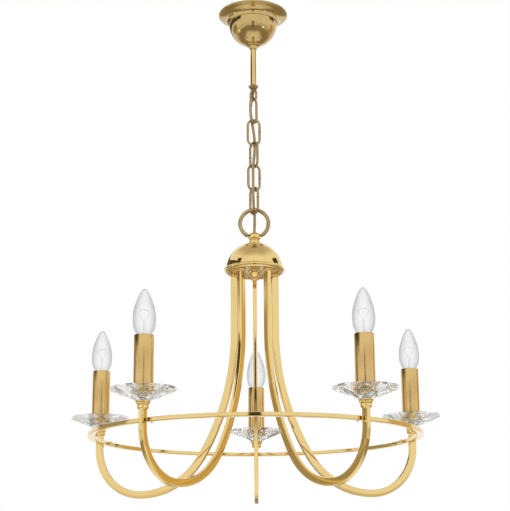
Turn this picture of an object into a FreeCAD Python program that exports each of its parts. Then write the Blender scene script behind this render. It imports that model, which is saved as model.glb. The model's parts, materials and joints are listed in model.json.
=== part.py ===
import FreeCAD, Part

import math
import os

from FreeCAD import Vector

# A five-arm candle chandelier in polished brass with cut-crystal dishes, hung on a chain.
# Millimetres. The origin is the centre of the ceiling face of the fixing bracket, and +Z points up,
# so the whole fitting hangs below z = 0. Arm 1 points along +Y, and the others follow every 72 degrees.

# ---- driving dimensions ----------------------------------------------------------------------------
RUN_GAP = 0.3            # air between parts on different bodies
SHEET = 1.2              # brass sheet thickness of the spun parts
THREAD_R = 5.0           # M10 lamp thread, also the outside of the stem tube

BRACKET_LENGTH, BRACKET_WIDTH, BRACKET_SHEET = 100.0, 20.0, 2.0
BRACKET_DROP = 30.0      # ceiling to the underside of the bracket's bridge
BRACKET_BRIDGE = 56.0    # length of the bridge, outside
SLOT_SPACING, SLOT_LENGTH, SLOT_R = 76.0, 12.0, 2.5
NUT_FLATS, NUT_HEIGHT = 14.0, 4.0
TERMINAL_X, TERMINAL_TOP_Z = 16.0, -14.0        # where the cores come down into the terminal block

CANOPY_R = 60.5          # over the rolled rim
CANOPY_BEAD_R = 2.3
CANOPY_SEAM_Z = -18.0    # where the cup meets the flange
CUP_R = 42.0             # the cup is a half sphere
COLLAR_Z = -67.0         # underside of the canopy's sliding collar
COLLAR_BORE_R = 5.06     # running fit on the stem tube
GRUB_Z, GRUB_R, GRUB_LENGTH = -64.0, 1.6, 3.2

STEM_TOP_Z, STEM_LOW_Z = -20.0, -136.0
STEM_BORE_R = 4.0
STEM_COLLAR_TOP_Z, STEM_COLLAR_LOW_Z, STEM_COLLAR_R = -134.0, -142.0, 8.65
EYE_WIRE_R, EYE_ARC_R, EYE_STRAIGHT = 2.0, 5.75, 6.5   # an oval eye: wire, end radius, sides

LINK_COUNT = 5
LINK_LENGTH, LINK_WIDTH, LINK_WIRE_R = 49.8, 24.4, 2.1
LINK_TOP_Z = -155.5      # outside of the first link's top
LINK_ANGLES = [60.0, 2.0, -52.0, 18.0, -50.0]   # how each link has twisted about the vertical
LINK_WELDS = [(-1, 4.0), (1, 1.0), (-1, -3.0), (1, -1.5), (1, 4.0)]   # side and height of each weld
RING_R, RING_WIRE_R = 24.0, 3.3                 # centreline radius and wire of the big ring
RING_GAP = 1.0           # air between the last link and the ring, which cross at a slant

BOSS_R = 10.7
PIN_R, PIN_CLEARANCE = 2.0, 0.05                # the ring's inward pins in the boss
DOME_R, DOME_HEIGHT, DOME_BASE_Z = 47.0, 45.5, -465.0
RIM_R = 51.2
PLATE_LOW_Z, PLATE_SHEET = -463.0, 2.5
FINIAL_TIP_Z = -484.5
ROD_LOW_Z, ROD_BORE_R = -476.0, 2.6             # hollow rod through boss, dome and plate
STUD_R = 4.0                                    # hollow stud at the top of each arm

ARM_COUNT = 5
ARM_TOP_R, CANDLE_R = 35.5, 276.5               # arm centreline at the crown and at the candles
ARM_DEPTH, ARM_WIDTH, ARM_WALL = 12.0, 6.5, 1.0
ARM_EDGE_R = 0.7
ARM_TOP_Z, ARM_END_Z = -475.5, -731.4
ARM_LOW_Z = -832.0                              # centreline at the lowest point
ARM_OUTER_ARC, ARM_INNER_ARC = 77.5, 125.0      # centreline radii beside the lowest point
ARM_INNER_TURN = 58.0                           # degrees turned by the inner arc
ARM_PLUG = 8.0                                  # solid plug brazed into each end
WIRE_R = 1.3                                    # twin lamp wire inside an arm

HOOP_R, HOOP_DEPTH, HOOP_HEIGHT, HOOP_Z = 270.5, 12.0, 6.0, -745.2
HOOP_STUD_R, CAP_NUT_R = 1.6, 3.8

NUT_LOW_Z, CUP_LOW_Z, CUP_TOP_Z = -731.4, -724.0, -719.0
DISH_R, DISH_HUB_R, DISH_MID_R = 49.0, 10.6, 32.0
DISH_TOP_Z, DISH_EDGE, DISH_FLOOR_Z, DISH_FLOOR_R = -700.0, 3.5, -707.5, 18.0
DISH_UPPER_MID_R = 36.0
DISH_FACETS = 16
SLEEVE_R, SLEEVE_TOP_Z, SLEEVE_WALL = 15.0, -621.5, 0.9
LAMP_TIP_Z, LAMP_LENGTH, LAMP_CAP_LENGTH, LAMP_R = -550.8, 100.0, 23.0, 17.5
GLASS_WALL = 0.8
LAMPHOLDER_LOW_Z, LAMPHOLDER_R = -706.0, 12.5

FLEX_R = 2.4                                    # sheathed three-core flex
FLEX_PASSAGE_R = 2.7
CORE_R = 0.65

# ---- values worked out from them ---------------------------------------------------------------------
LINK_PITCH = LINK_LENGTH - 4 * LINK_WIRE_R - RUN_GAP
LINK_ARC_R = LINK_WIDTH / 2 - LINK_WIRE_R
LINK_CENTRES = [LINK_TOP_Z - LINK_LENGTH / 2 - LINK_PITCH * k for k in range(LINK_COUNT)]
LINK_LOW_WIRES = [z - LINK_LENGTH / 2 + LINK_WIRE_R for z in LINK_CENTRES]
EYE_LOW_WIRE = LINK_TOP_Z - 2 * LINK_WIRE_R - RUN_GAP - EYE_WIRE_R
EYE_CENTRE_Z = EYE_LOW_WIRE + EYE_ARC_R + EYE_STRAIGHT / 2
EYE_ANGLE = LINK_ANGLES[0] - 90.0
RING_CENTRE_Z = LINK_LOW_WIRES[-1] + LINK_WIRE_R + RING_GAP + RING_WIRE_R - RING_R
PIN_START = BOSS_R + RUN_GAP
PIN_Z = RING_CENTRE_Z - math.sqrt(RING_R ** 2 - PIN_START ** 2)
ROD_TOP_Z = PIN_Z - 4.5
HOOP_INNER_R = HOOP_R - HOOP_DEPTH
LAMP_CAP_TOP_Z = LAMP_TIP_Z - (LAMP_LENGTH - LAMP_CAP_LENGTH)
LAMPHOLDER_TOP_Z = LAMP_CAP_TOP_Z - 2.4
NIPPLE_TOP_Z = LAMPHOLDER_LOW_Z + 8.0

# The flex, from its end above the stem to the crown: out behind the eye, down the left of the first
# link, behind the next two crossings, through to the front for two, and back behind the big ring.
FLEX_ROUTE = [
    (0.0, 0.0, -22.0), (0.0, 0.0, -131.0), (-0.2, 6.9, -146.0), (-2.9, 7.3, -158.0),
    (-5.2, 6.0, -170.0), (-5.4, 4.4, -182.0), (-3.9, 4.3, -194.0), (-2.2, 5.2, -206.0),
    (-0.3, 6.0, -218.0), (1.0, 6.5, -230.0), (1.5, 6.0, -242.0), (1.3, 3.5, -254.0),
    (0.6, -0.6, -266.0), (-0.9, -5.0, -278.0), (-1.6, -7.2, -290.0), (-1.3, -7.0, -302.0),
    (-1.4, -6.7, -314.0), (-1.5, -5.9, -326.0), (-1.6, -2.8, -338.0), (-1.1, 2.3, -350.0),
    (0.1, 6.9, -362.0), (0.7, 7.7, -374.0), (0.6, 4.9, -386.0), (0.0, 1.0, -398.0),
    (0.0, 0.0, -409.0), (0.0, 0.0, -440.0)]


# ---- helpers -------------------------------------------------------------------------------------------
def vec(x, y, z):
    return Vector(x, y, z)


def turned(points):
    """A solid of revolution about Z from (radius, z) corners."""
    corners = [vec(r, 0, z) for r, z in points]
    face = Part.Face(Part.makePolygon(corners + corners[:1]))
    return face.revolve(vec(0, 0, 0), vec(0, 0, 1), 360)


def turned_edges(edges):
    """A solid of revolution about Z from joined edges in the XZ plane."""
    face = Part.Face(Part.Wire(edges))
    return face.revolve(vec(0, 0, 0), vec(0, 0, 1), 360)


def line(a, b):
    return Part.LineSegment(vec(*a), vec(*b)).toShape()


def flat_line(a, b):
    return line((a[0], 0, a[1]), (b[0], 0, b[1]))


def flat_arc(a, middle, b):
    return Part.Arc(*[vec(r, 0, z) for r, z in (a, middle, b)]).toShape()


def flat_curve(points):
    curve = Part.BSplineCurve()
    curve.interpolate([vec(r, 0, z) for r, z in points])
    return curve.toShape()


def disc(radius, low, high, x=0.0, y=0.0):
    return Part.makeCylinder(radius, high - low, vec(x, y, low))


def hexagon(flats, low, high, bore):
    radius = flats / math.sqrt(3)
    corners = [vec(radius * math.cos(math.radians(60 * k)), radius * math.sin(math.radians(60 * k)), low)
               for k in range(7)]
    prism = Part.Face(Part.makePolygon(corners)).extrude(vec(0, 0, high - low))
    return prism.cut(disc(bore, low - 1, high + 1))


def spun(shape, degrees):
    """A copy turned about Z."""
    copy = shape.copy()
    copy.rotate(vec(0, 0, 0), vec(0, 0, 1), degrees)
    return copy


def around(shape):
    """The same piece at each arm: it is drawn for arm 1, along +Y."""
    return Part.makeCompound([spun(shape, 360.0 / ARM_COUNT * k) for k in range(ARM_COUNT)])


def at_candle(shape):
    """A piece drawn about Z, moved to arm 1's candle."""
    copy = shape.copy()
    copy.translate(vec(0, CANDLE_R, 0))
    return copy


def rounded_path(points):
    """Straight runs joined by tangent arcs, each as large as its two runs allow."""
    stops = [vec(*p) for p in points]
    edges, start, radii = [], stops[0], []
    for before, corner, after in zip(stops, stops[1:], stops[2:]):
        back, ahead = (before - corner).normalize(), (after - corner).normalize()
        turn = math.pi - back.getAngle(ahead)
        setback = 0.45 * min((before - corner).Length, (after - corner).Length)
        enter, leave = corner + back * setback, corner + ahead * setback
        radius = setback / math.tan(turn / 2)
        bisector = (back + ahead).normalize()
        middle = corner + bisector * (radius / math.cos(turn / 2) - radius)
        edges.append(Part.LineSegment(start, enter).toShape())
        edges.append(Part.Arc(enter, middle, leave).toShape())
        radii.append(radius)
        start = leave
    edges.append(Part.LineSegment(start, stops[-1]).toShape())
    return Part.Wire(edges), radii


def tube_along(path, radius):
    first = path.Edges[0]
    start = first.valueAt(first.FirstParameter)
    heading = first.tangentAt(first.FirstParameter)
    section = Part.Wire(Part.Circle(start, heading, radius).toShape())
    return path.makePipeShell([section], True, False)


def slab(low, high):
    """A wide slice of space between two heights."""
    return Part.makeBox(400, 400, high - low, vec(-200, -200, low))


# ---- ceiling fixing and stem ---------------------------------------------------------------------------
def ceiling_bracket():
    half, bridge = BRACKET_LENGTH / 2, BRACKET_BRIDGE / 2
    sheet = BRACKET_SHEET
    outline = [(-half, 0), (-bridge + sheet, 0), (-bridge + sheet, -BRACKET_DROP + sheet),
               (bridge - sheet, -BRACKET_DROP + sheet), (bridge - sheet, 0), (half, 0), (half, -sheet),
               (bridge, -sheet), (bridge, -BRACKET_DROP), (-bridge, -BRACKET_DROP), (-bridge, -sheet),
               (-half, -sheet)]
    corners = [vec(x, -BRACKET_WIDTH / 2, z) for x, z in outline]
    bar = Part.Face(Part.makePolygon(corners + corners[:1])).extrude(vec(0, BRACKET_WIDTH, 0))
    bar = bar.cut(disc(THREAD_R, -BRACKET_DROP - 1, -BRACKET_DROP + sheet + 1))
    for side in (-1, 1):
        centre = side * SLOT_SPACING / 2
        run = SLOT_LENGTH / 2 - SLOT_R
        slot = Part.makeBox(2 * run, 2 * SLOT_R, sheet + 2, vec(centre - run, -SLOT_R, -sheet - 1))
        for end in (-run, run):
            slot = slot.fuse(disc(SLOT_R, -sheet - 1, 1, centre + end))
        bar = bar.cut(slot.removeSplitter())
    return bar


def bracket_nuts():
    bridge_top = -BRACKET_DROP + BRACKET_SHEET
    return Part.makeCompound([hexagon(NUT_FLATS, bridge_top, bridge_top + NUT_HEIGHT, THREAD_R),
                              hexagon(NUT_FLATS, -BRACKET_DROP - NUT_HEIGHT, -BRACKET_DROP, THREAD_R)])


def terminal_block():
    low = -BRACKET_DROP + BRACKET_SHEET
    block = Part.makeBox(13, 24, TERMINAL_TOP_Z - low, vec(TERMINAL_X - 5, -12, low))
    for y in (-8.0, 0.0, 8.0):
        block = block.cut(disc(1.6, TERMINAL_TOP_Z - 4, TERMINAL_TOP_Z + 1, TERMINAL_X + 4, y))
    return block


def flex_cores():
    """Three insulated cores that rise from the sheath and turn over into the terminal block."""
    cores = []
    reach = TERMINAL_X / 2
    crest = STEM_TOP_Z + 8.0
    for y in (-1.4, 0.0, 1.4):
        edges = [line((0, y, FLEX_ROUTE[0][2]), (0, y, crest)),
                 Part.Arc(vec(0, y, crest), vec(reach, y, crest + reach),
                          vec(2 * reach, y, crest)).toShape(),
                 line((2 * reach, y, crest), (2 * reach, y, TERMINAL_TOP_Z))]
        cores.append(tube_along(Part.Wire(edges), CORE_R))
    return cores


def stem_tube():
    return disc(THREAD_R, STEM_LOW_Z, STEM_TOP_Z).cut(disc(STEM_BORE_R, STEM_LOW_Z - 1, STEM_TOP_Z + 1))


def stem_collar(passage):
    """A turned collar with a bead, screwed to the tube's foot and notched where the flex comes out."""
    top, low, r = STEM_COLLAR_TOP_Z, STEM_COLLAR_LOW_Z, STEM_COLLAR_R
    body = turned_edges([flat_line((0, top), (6.2, top)), flat_line((6.2, top), (r - 1.2, top - 1.6)),
                         flat_arc((r - 1.2, top - 1.6), (r, top - 3.4), (r - 1.2, top - 5.2)),
                         flat_line((r - 1.2, top - 5.2), (5.6, low)), flat_line((5.6, low), (0, low)),
                         flat_line((0, low), (0, top))])
    socket = disc(THREAD_R, STEM_LOW_Z, top + 1).fuse(disc(STEM_BORE_R, STEM_LOW_Z - 1.5, top))
    return body.cut(socket.removeSplitter()).cut(passage)


def oval(arc_r, wire_r, half, centre_z):
    """Round wire bent to two half rings and two straight sides, standing in the XZ plane."""
    shape = None
    for side in (1, -1):
        bend = Part.makeTorus(arc_r, wire_r, vec(0, 0, centre_z + side * half), vec(0, 1, 0))
        low = centre_z + half if side > 0 else centre_z - half - 40
        bend = bend.common(slab(low, low + 40))
        bar = Part.makeCylinder(wire_r, 2 * half, vec(side * arc_r, 0, centre_z - half))
        shape = bend.fuse(bar) if shape is None else shape.fuse(bend).fuse(bar)
    return shape


def stem_eye(passage):
    """The eye that the chain hangs in: a short shank above an oval of wire."""
    shank_low = EYE_CENTRE_Z + EYE_STRAIGHT / 2 + EYE_ARC_R - 0.5
    shank = turned([(0, STEM_COLLAR_LOW_Z), (3.8, STEM_COLLAR_LOW_Z), (3.8, shank_low + 0.9),
                    (2.6, shank_low - 0.9), (0, shank_low - 0.9)])
    eye = oval(EYE_ARC_R, EYE_WIRE_R, EYE_STRAIGHT / 2, EYE_CENTRE_Z)
    eye = eye.common(slab(-200, STEM_COLLAR_LOW_Z)).fuse(shank).removeSplitter()
    return spun(eye, EYE_ANGLE).cut(passage)


# ---- canopy --------------------------------------------------------------------------------------------
def canopy_flange():
    bead_r = CANOPY_R - CANOPY_BEAD_R
    outer = flat_curve([(bead_r, -2 * CANOPY_BEAD_R), (50.6, -7.4), (45.4, -11.8),
                        (CUP_R + SHEET, CANOPY_SEAM_Z)])
    inner = flat_curve([(CUP_R, CANOPY_SEAM_Z), (44.4, -11.0), (50.0, -6.1),
                        (bead_r - 0.4, -2 * CANOPY_BEAD_R + SHEET)])
    rim = [flat_line((bead_r - 0.4, -2 * CANOPY_BEAD_R + SHEET), (bead_r - 0.4, 0)),
           flat_line((bead_r - 0.4, 0), (bead_r, 0)),
           flat_arc((bead_r, 0), (CANOPY_R, -CANOPY_BEAD_R), (bead_r, -2 * CANOPY_BEAD_R))]
    foot = flat_line((CUP_R + SHEET, CANOPY_SEAM_Z), (CUP_R, CANOPY_SEAM_Z))
    return turned_edges([outer, foot, inner] + rim)


def canopy_cup():
    lip = CANOPY_SEAM_Z + 2.0
    low = CANOPY_SEAM_Z
    bore = COLLAR_BORE_R
    outer_low = low - math.sqrt(CUP_R ** 2 - bore ** 2)
    inner_r = CUP_R - SHEET
    inner_low = low - math.sqrt(inner_r ** 2 - bore ** 2)
    slant = math.sqrt(0.5)
    return turned_edges([
        flat_line((CUP_R, lip), (CUP_R, low)),
        flat_arc((CUP_R, low), (CUP_R * slant, low - CUP_R * slant), (bore, outer_low)),
        flat_line((bore, outer_low), (bore, inner_low)),
        flat_arc((bore, inner_low), (inner_r * slant, low - inner_r * slant), (inner_r, low)),
        flat_line((inner_r, low), (inner_r, lip)), flat_line((inner_r, lip), (CUP_R, lip))])


def canopy_collar():
    """A turned washer and tapered collar in one, that slides on the stem and carries the cup."""
    top = CANOPY_SEAM_Z - CUP_R + 2.5
    body = turned([(COLLAR_BORE_R, top), (12.0, top), (12.4, top - 1.6), (11.6, top - 3.2), (7.2, top - 3.9),
                   (6.9, top - 5.6), (5.9, COLLAR_Z), (COLLAR_BORE_R, COLLAR_Z)])
    body = body.cut(Part.makeSphere(CUP_R, vec(0, 0, CANOPY_SEAM_Z)))
    hole = Part.makeCylinder(GRUB_R, 12, vec(0, 0, GRUB_Z), vec(0, 1, 0))
    return body.cut(hole)


def canopy_grub_screw():
    screw = Part.makeCylinder(GRUB_R, GRUB_LENGTH, vec(0, COLLAR_BORE_R + RUN_GAP, GRUB_Z), vec(0, 1, 0))
    socket_y = COLLAR_BORE_R + RUN_GAP + GRUB_LENGTH
    slot = Part.makeBox(2 * GRUB_R + 1, 1.0, 0.5, vec(-GRUB_R - 0.5, socket_y - 0.8, GRUB_Z - 0.25))
    return screw.cut(slot)


# ---- chain and ring ------------------------------------------------------------------------------------
def chain_link(index):
    """A welded oval link, with its weld on one side."""
    centre = LINK_CENTRES[index]
    link = oval(LINK_ARC_R, LINK_WIRE_R, (LINK_LENGTH - LINK_WIDTH) / 2, centre)
    side, height = LINK_WELDS[index]
    weld = turned([(0, -1.6), (LINK_WIRE_R, -1.6), (LINK_WIRE_R + 0.25, -0.8),
                   (LINK_WIRE_R + 0.25, 0.8), (LINK_WIRE_R, 1.6), (0, 1.6)])
    weld.translate(vec(side * LINK_ARC_R, 0, centre + height))
    return spun(link.fuse(weld).removeSplitter(), LINK_ANGLES[index])


def suspension_ring():
    """The big ring: open at the foot, where two short pins point inwards into the boss."""
    ring = Part.makeTorus(RING_R, RING_WIRE_R, vec(0, 0, RING_CENTRE_Z), vec(0, 1, 0))
    gap = Part.makeBox(2 * PIN_START, 20, 40, vec(-PIN_START, -10, RING_CENTRE_Z - 40))
    ring = ring.cut(gap)
    for side in (-1, 1):
        pin = Part.makeCylinder(PIN_R, PIN_START - 4.0, vec(side * 6.0, 0, PIN_Z), vec(side, 0, 0))
        ring = ring.fuse(pin)
    return ring.removeSplitter()


# ---- crown ---------------------------------------------------------------------------------------------
def ellipse_edge(radius, height, inner_r, base=0.0):
    """A quarter ellipse of the dome's side, from its base up to radius inner_r."""
    centre = vec(0, 0, DOME_BASE_Z)
    ellipse = Part.Ellipse(vec(radius, 0, DOME_BASE_Z), vec(0, 0, DOME_BASE_Z + height), centre)
    return Part.ArcOfEllipse(ellipse, base, math.acos(inner_r / radius)).toShape()


def dome_envelope():
    side = ellipse_edge(DOME_R, DOME_HEIGHT, 0.0)
    top = DOME_BASE_Z + DOME_HEIGHT
    return turned_edges([side, flat_line((0, top), (0, DOME_BASE_Z)),
                         flat_line((0, DOME_BASE_Z), (DOME_R, DOME_BASE_Z))])


def crown_dome():
    inner_r, inner_h = DOME_R - SHEET, DOME_HEIGHT - SHEET
    outer = ellipse_edge(DOME_R, DOME_HEIGHT, THREAD_R)
    inner = ellipse_edge(inner_r, inner_h, THREAD_R)
    outer_top = outer.Vertexes[-1].Point
    inner_top = inner.Vertexes[-1].Point
    low = DOME_BASE_Z - 6.4
    return turned_edges([
        outer, flat_line((outer_top.x, outer_top.z), (inner_top.x, inner_top.z)), inner,
        flat_line((inner_r, DOME_BASE_Z), (inner_r, low)), flat_line((inner_r, low), (DOME_R + 0.6, low)),
        flat_arc((DOME_R + 0.6, low), (RIM_R, DOME_BASE_Z - 2.0), (DOME_R + 0.9, DOME_BASE_Z + 1.6)),
        flat_line((DOME_R + 0.9, DOME_BASE_Z + 1.6), (DOME_R, DOME_BASE_Z))])


def ring_boss(passage):
    """The turned boss on the dome, bored across for the ring's pins and down for the flex."""
    top, widest = PIN_Z + 5.2, PIN_Z - 1.5
    foot = DOME_BASE_Z + DOME_HEIGHT - 2.0
    body = turned_edges([
        flat_line((0, top), (3.6, top)), flat_arc((3.6, top), (8.9, top - 2.6), (BOSS_R, widest)),
        flat_arc((BOSS_R, widest), (9.8, widest - 4.2), (7.7, widest - 7.4)),
        flat_line((7.7, widest - 7.4), (8.4, foot)), flat_line((8.4, foot), (0, foot)),
        flat_line((0, foot), (0, top))])
    body = body.cut(dome_envelope()).cut(disc(THREAD_R, foot - 1, ROD_TOP_Z)).cut(passage)
    for side in (-1, 1):
        body = body.cut(Part.makeCylinder(PIN_R + PIN_CLEARANCE, 20, vec(side * 5.7, 0, PIN_Z),
                                          vec(side, 0, 0)))
    return body


def crown_rod():
    """The hollow threaded rod that ties boss, dome, plate and finial together."""
    return disc(THREAD_R, ROD_LOW_Z, ROD_TOP_Z).cut(disc(ROD_BORE_R, ROD_LOW_Z - 1, ROD_TOP_Z + 1))


def crown_nuts():
    dome_nut_top = DOME_BASE_Z + DOME_HEIGHT - SHEET - 1.0
    plate_top = PLATE_LOW_Z + PLATE_SHEET
    return Part.makeCompound([hexagon(NUT_FLATS, dome_nut_top - NUT_HEIGHT, dome_nut_top, THREAD_R),
                              hexagon(NUT_FLATS, plate_top, plate_top + NUT_HEIGHT, THREAD_R)])


def crown_plate():
    plate = disc(DOME_R - SHEET - 0.5, PLATE_LOW_Z, PLATE_LOW_Z + PLATE_SHEET)
    plate = plate.cut(disc(THREAD_R, PLATE_LOW_Z - 1, PLATE_LOW_Z + 5))
    for k in range(ARM_COUNT):
        plate = plate.cut(spun(disc(STUD_R, PLATE_LOW_Z - 1, PLATE_LOW_Z + 5, 0, ARM_TOP_R), 72 * k))
    return plate


def crown_finial():
    top = PLATE_LOW_Z
    knob = turned_edges([
        flat_line((0, top), (7.6, top)), flat_line((7.6, top), (7.6, top - 1.6)),
        flat_arc((7.6, top - 1.6), (11.6, top - 5.6), (9.6, top - 11.0)),
        flat_arc((9.6, top - 11.0), (7.0, top - 14.0), (4.2, top - 16.2)),
        flat_line((4.2, top - 16.2), (4.6, top - 17.4)),
        flat_arc((4.6, top - 17.4), (3.6, top - 20.3), (1.2, FINIAL_TIP_Z)),
        flat_line((1.2, FINIAL_TIP_Z), (0, FINIAL_TIP_Z)), flat_line((0, FINIAL_TIP_Z), (0, top))])
    return knob.cut(disc(THREAD_R, ROD_LOW_Z, top + 1))


def arm_ferrules():
    """A turned collar between each arm and the plate."""
    top, low = PLATE_LOW_Z, ARM_TOP_Z
    collar = turned([(STUD_R, top), (6.4, top), (7.3, top - 0.8), (7.3, top - 3.4), (6.6, top - 4.2),
                     (6.6, low + 3.0), (7.3, low + 2.2), (7.3, low + 0.6), (6.7, low), (STUD_R, low)])
    collar.translate(vec(0, ARM_TOP_R, 0))
    return around(collar)


def arm_fixings():
    """Each arm's hollow stud and the nut that holds it above the plate."""
    top = PLATE_LOW_Z + PLATE_SHEET
    stud = disc(STUD_R, ARM_TOP_Z, top + 9).cut(disc(WIRE_R + 0.4, ARM_TOP_Z - 1, top + 10))
    nut = hexagon(11.0, top, top + NUT_HEIGHT, STUD_R)
    pair = Part.makeCompound([stud, nut])
    pair.translate(vec(0, ARM_TOP_R, 0))
    return around(pair)


# ---- arms ----------------------------------------------------------------------------------------------
class ArmLine:
    """The arm's centreline: down from the crown, out in a long and a tighter arc, and up to the candle."""

    def __init__(self):
        self.low_r = CANDLE_R - ARM_OUTER_ARC
        turn = math.radians(ARM_INNER_TURN)
        self.join_r = self.low_r - ARM_INNER_ARC * math.sin(turn)
        self.join_z = ARM_LOW_Z + ARM_INNER_ARC * (1 - math.cos(turn))
        self.rest = math.radians(90.0 - ARM_INNER_TURN)
        self.long_arc = (self.join_r - ARM_TOP_R) / (1 - math.cos(self.rest))
        self.start_z = self.join_z + self.long_arc * math.sin(self.rest)

    def edges(self, offset, top, end):
        """The line offset outwards from the curve's centre of bend, from height top to height end."""
        long_r, inner, outer = self.long_arc + offset, ARM_INNER_ARC + offset, ARM_OUTER_ARC + offset
        long_c = (ARM_TOP_R + self.long_arc, self.start_z)
        inner_c = (self.low_r, ARM_LOW_Z + ARM_INNER_ARC)
        outer_c = (self.low_r, ARM_LOW_Z + ARM_OUTER_ARC)

        def on(centre, radius, angle):
            return centre[0] + radius * math.cos(angle), centre[1] + radius * math.sin(angle)

        up, join, low, side = math.pi, math.pi + self.rest, 1.5 * math.pi, 2 * math.pi
        parts = [flat_line((ARM_TOP_R - offset, top), on(long_c, long_r, up))]
        for centre, radius, a, b in ((long_c, long_r, up, join), (inner_c, inner, join, low),
                                     (outer_c, outer, low, side)):
            parts.append(flat_arc(on(centre, radius, a), on(centre, radius, (a + b) / 2),
                                  on(centre, radius, b)))
        parts.append(flat_line(on(outer_c, outer, side), (CANDLE_R + offset, end)))
        return parts

    def band(self, depth, width, top, end):
        """A flat bar of the given section along the line, as a solid in the XZ plane."""
        half = depth / 2
        outline = self.edges(half, top, end) + self.edges(-half, top, end)
        outline.append(flat_line((ARM_TOP_R - half, top), (ARM_TOP_R + half, top)))
        outline.append(flat_line((CANDLE_R - half, end), (CANDLE_R + half, end)))
        face = Part.Face(Part.Wire(Part.__sortEdges__(outline)))
        bar = face.extrude(vec(0, width, 0))
        bar.translate(vec(0, -width / 2, 0))
        return bar


ARM_LINE = ArmLine()


def long_edges(bar, width):
    """The edges that run along the bar, at its four corners."""
    return [e for e in bar.Edges
            if all(abs(abs(v.Point.y) - width / 2) < 1e-6 for v in e.Vertexes)
            and abs(e.Vertexes[0].Point.y - e.Vertexes[-1].Point.y) < 1e-6
            and e.Length > ARM_DEPTH + 0.1]


def arm():
    """One arm along +Y: a bent rectangular tube with a brazed plug in each end."""
    bar = ARM_LINE.band(ARM_DEPTH, ARM_WIDTH, ARM_TOP_Z, ARM_END_Z)
    bar = bar.makeFillet(ARM_EDGE_R, long_edges(bar, ARM_WIDTH))
    hollow = ARM_LINE.band(ARM_DEPTH - 2 * ARM_WALL, ARM_WIDTH - 2 * ARM_WALL, ARM_TOP_Z - ARM_PLUG,
                           ARM_END_Z - ARM_PLUG)
    bar = bar.cut(hollow)
    for radius, low, high in ((ARM_TOP_R, ARM_TOP_Z - ARM_PLUG - 1, ARM_TOP_Z + 1),
                              (CANDLE_R, ARM_END_Z - ARM_PLUG - 1, ARM_END_Z + 1)):
        bar = bar.cut(disc(WIRE_R + 0.4, low, high, radius))
    bar = bar.cut(Part.makeCylinder(HOOP_STUD_R, ARM_DEPTH / 2, vec(HOOP_R - 1, 0, HOOP_Z), vec(1, 0, 0)))
    return spun(bar, 90)


def arm_wire():
    """The twin wire inside one arm, from above the crown plate to the lampholder."""
    path = Part.Wire(Part.__sortEdges__(ARM_LINE.edges(0.0, PLATE_LOW_Z + 14, LAMPHOLDER_LOW_Z + 9)))
    return spun(tube_along(path, WIRE_R), 90)


# ---- gallery hoop --------------------------------------------------------------------------------------
def gallery_hoop():
    low, high = HOOP_Z - HOOP_HEIGHT / 2, HOOP_Z + HOOP_HEIGHT / 2
    bevel = 0.5
    hoop = turned([(HOOP_INNER_R, low + bevel), (HOOP_INNER_R + bevel, low), (HOOP_R - bevel, low),
                   (HOOP_R, low + bevel), (HOOP_R, high - bevel), (HOOP_R - bevel, high),
                   (HOOP_INNER_R + bevel, high), (HOOP_INNER_R, high - bevel)])
    for k in range(ARM_COUNT):
        hole = Part.makeCylinder(HOOP_STUD_R, HOOP_DEPTH + 2,
                             vec(0, HOOP_INNER_R - 1, HOOP_Z), vec(0, 1, 0))
        hoop = hoop.cut(spun(hole, 72 * k))
    return hoop


def hoop_studs():
    length = HOOP_DEPTH + 3.0 + ARM_WALL
    stud = Part.makeCylinder(HOOP_STUD_R, length, vec(0, HOOP_INNER_R - 3.0, HOOP_Z), vec(0, 1, 0))
    return around(stud)


def hoop_cap_nuts():
    """Domed nuts on the hoop's inner face, one at each arm."""
    base = hexagon(2 * CAP_NUT_R * 0.94, 0, 3.0, HOOP_STUD_R)
    collar = turned([(HOOP_STUD_R, 3.0), (CAP_NUT_R * 0.9, 3.0), (CAP_NUT_R * 0.9, 3.6),
                     (2.6, 5.2), (1.2, 6.0), (0, 6.2), (0, 4.4), (HOOP_STUD_R, 4.4)])
    nut = base.fuse(collar).removeSplitter()
    nut.rotate(vec(0, 0, 0), vec(1, 0, 0), 90)
    nut.translate(vec(0, HOOP_INNER_R - 0.05, HOOP_Z))
    return around(nut)


# ---- candles -------------------------------------------------------------------------------------------
def candle_nuts():
    low, top = NUT_LOW_Z, CUP_LOW_Z
    nut = turned([(THREAD_R, low), (6.4, low), (8.6, low + 1.8),
                  (8.6, top - 1.2), (7.6, top), (THREAD_R, top)])
    return around(at_candle(nut))


def candle_cups():
    low, top = CUP_LOW_Z, CUP_TOP_Z
    cup = turned([(THREAD_R, low), (9.4, low), (10.2, low + 0.8),
                  (11.2, top - 0.4), (11.2, top), (THREAD_R, top)])
    return around(at_candle(cup))


def candle_nipples():
    tube = disc(THREAD_R, ARM_END_Z, NIPPLE_TOP_Z).cut(disc(WIRE_R + 0.7, ARM_END_Z - 1, NIPPLE_TOP_Z + 1))
    return around(at_candle(tube))


def ring_of(count, radius, z, phase=0.0):
    return [vec(radius * math.cos(2 * math.pi * (k + phase) / count),
                radius * math.sin(2 * math.pi * (k + phase) / count), z) for k in range(count)]


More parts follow.
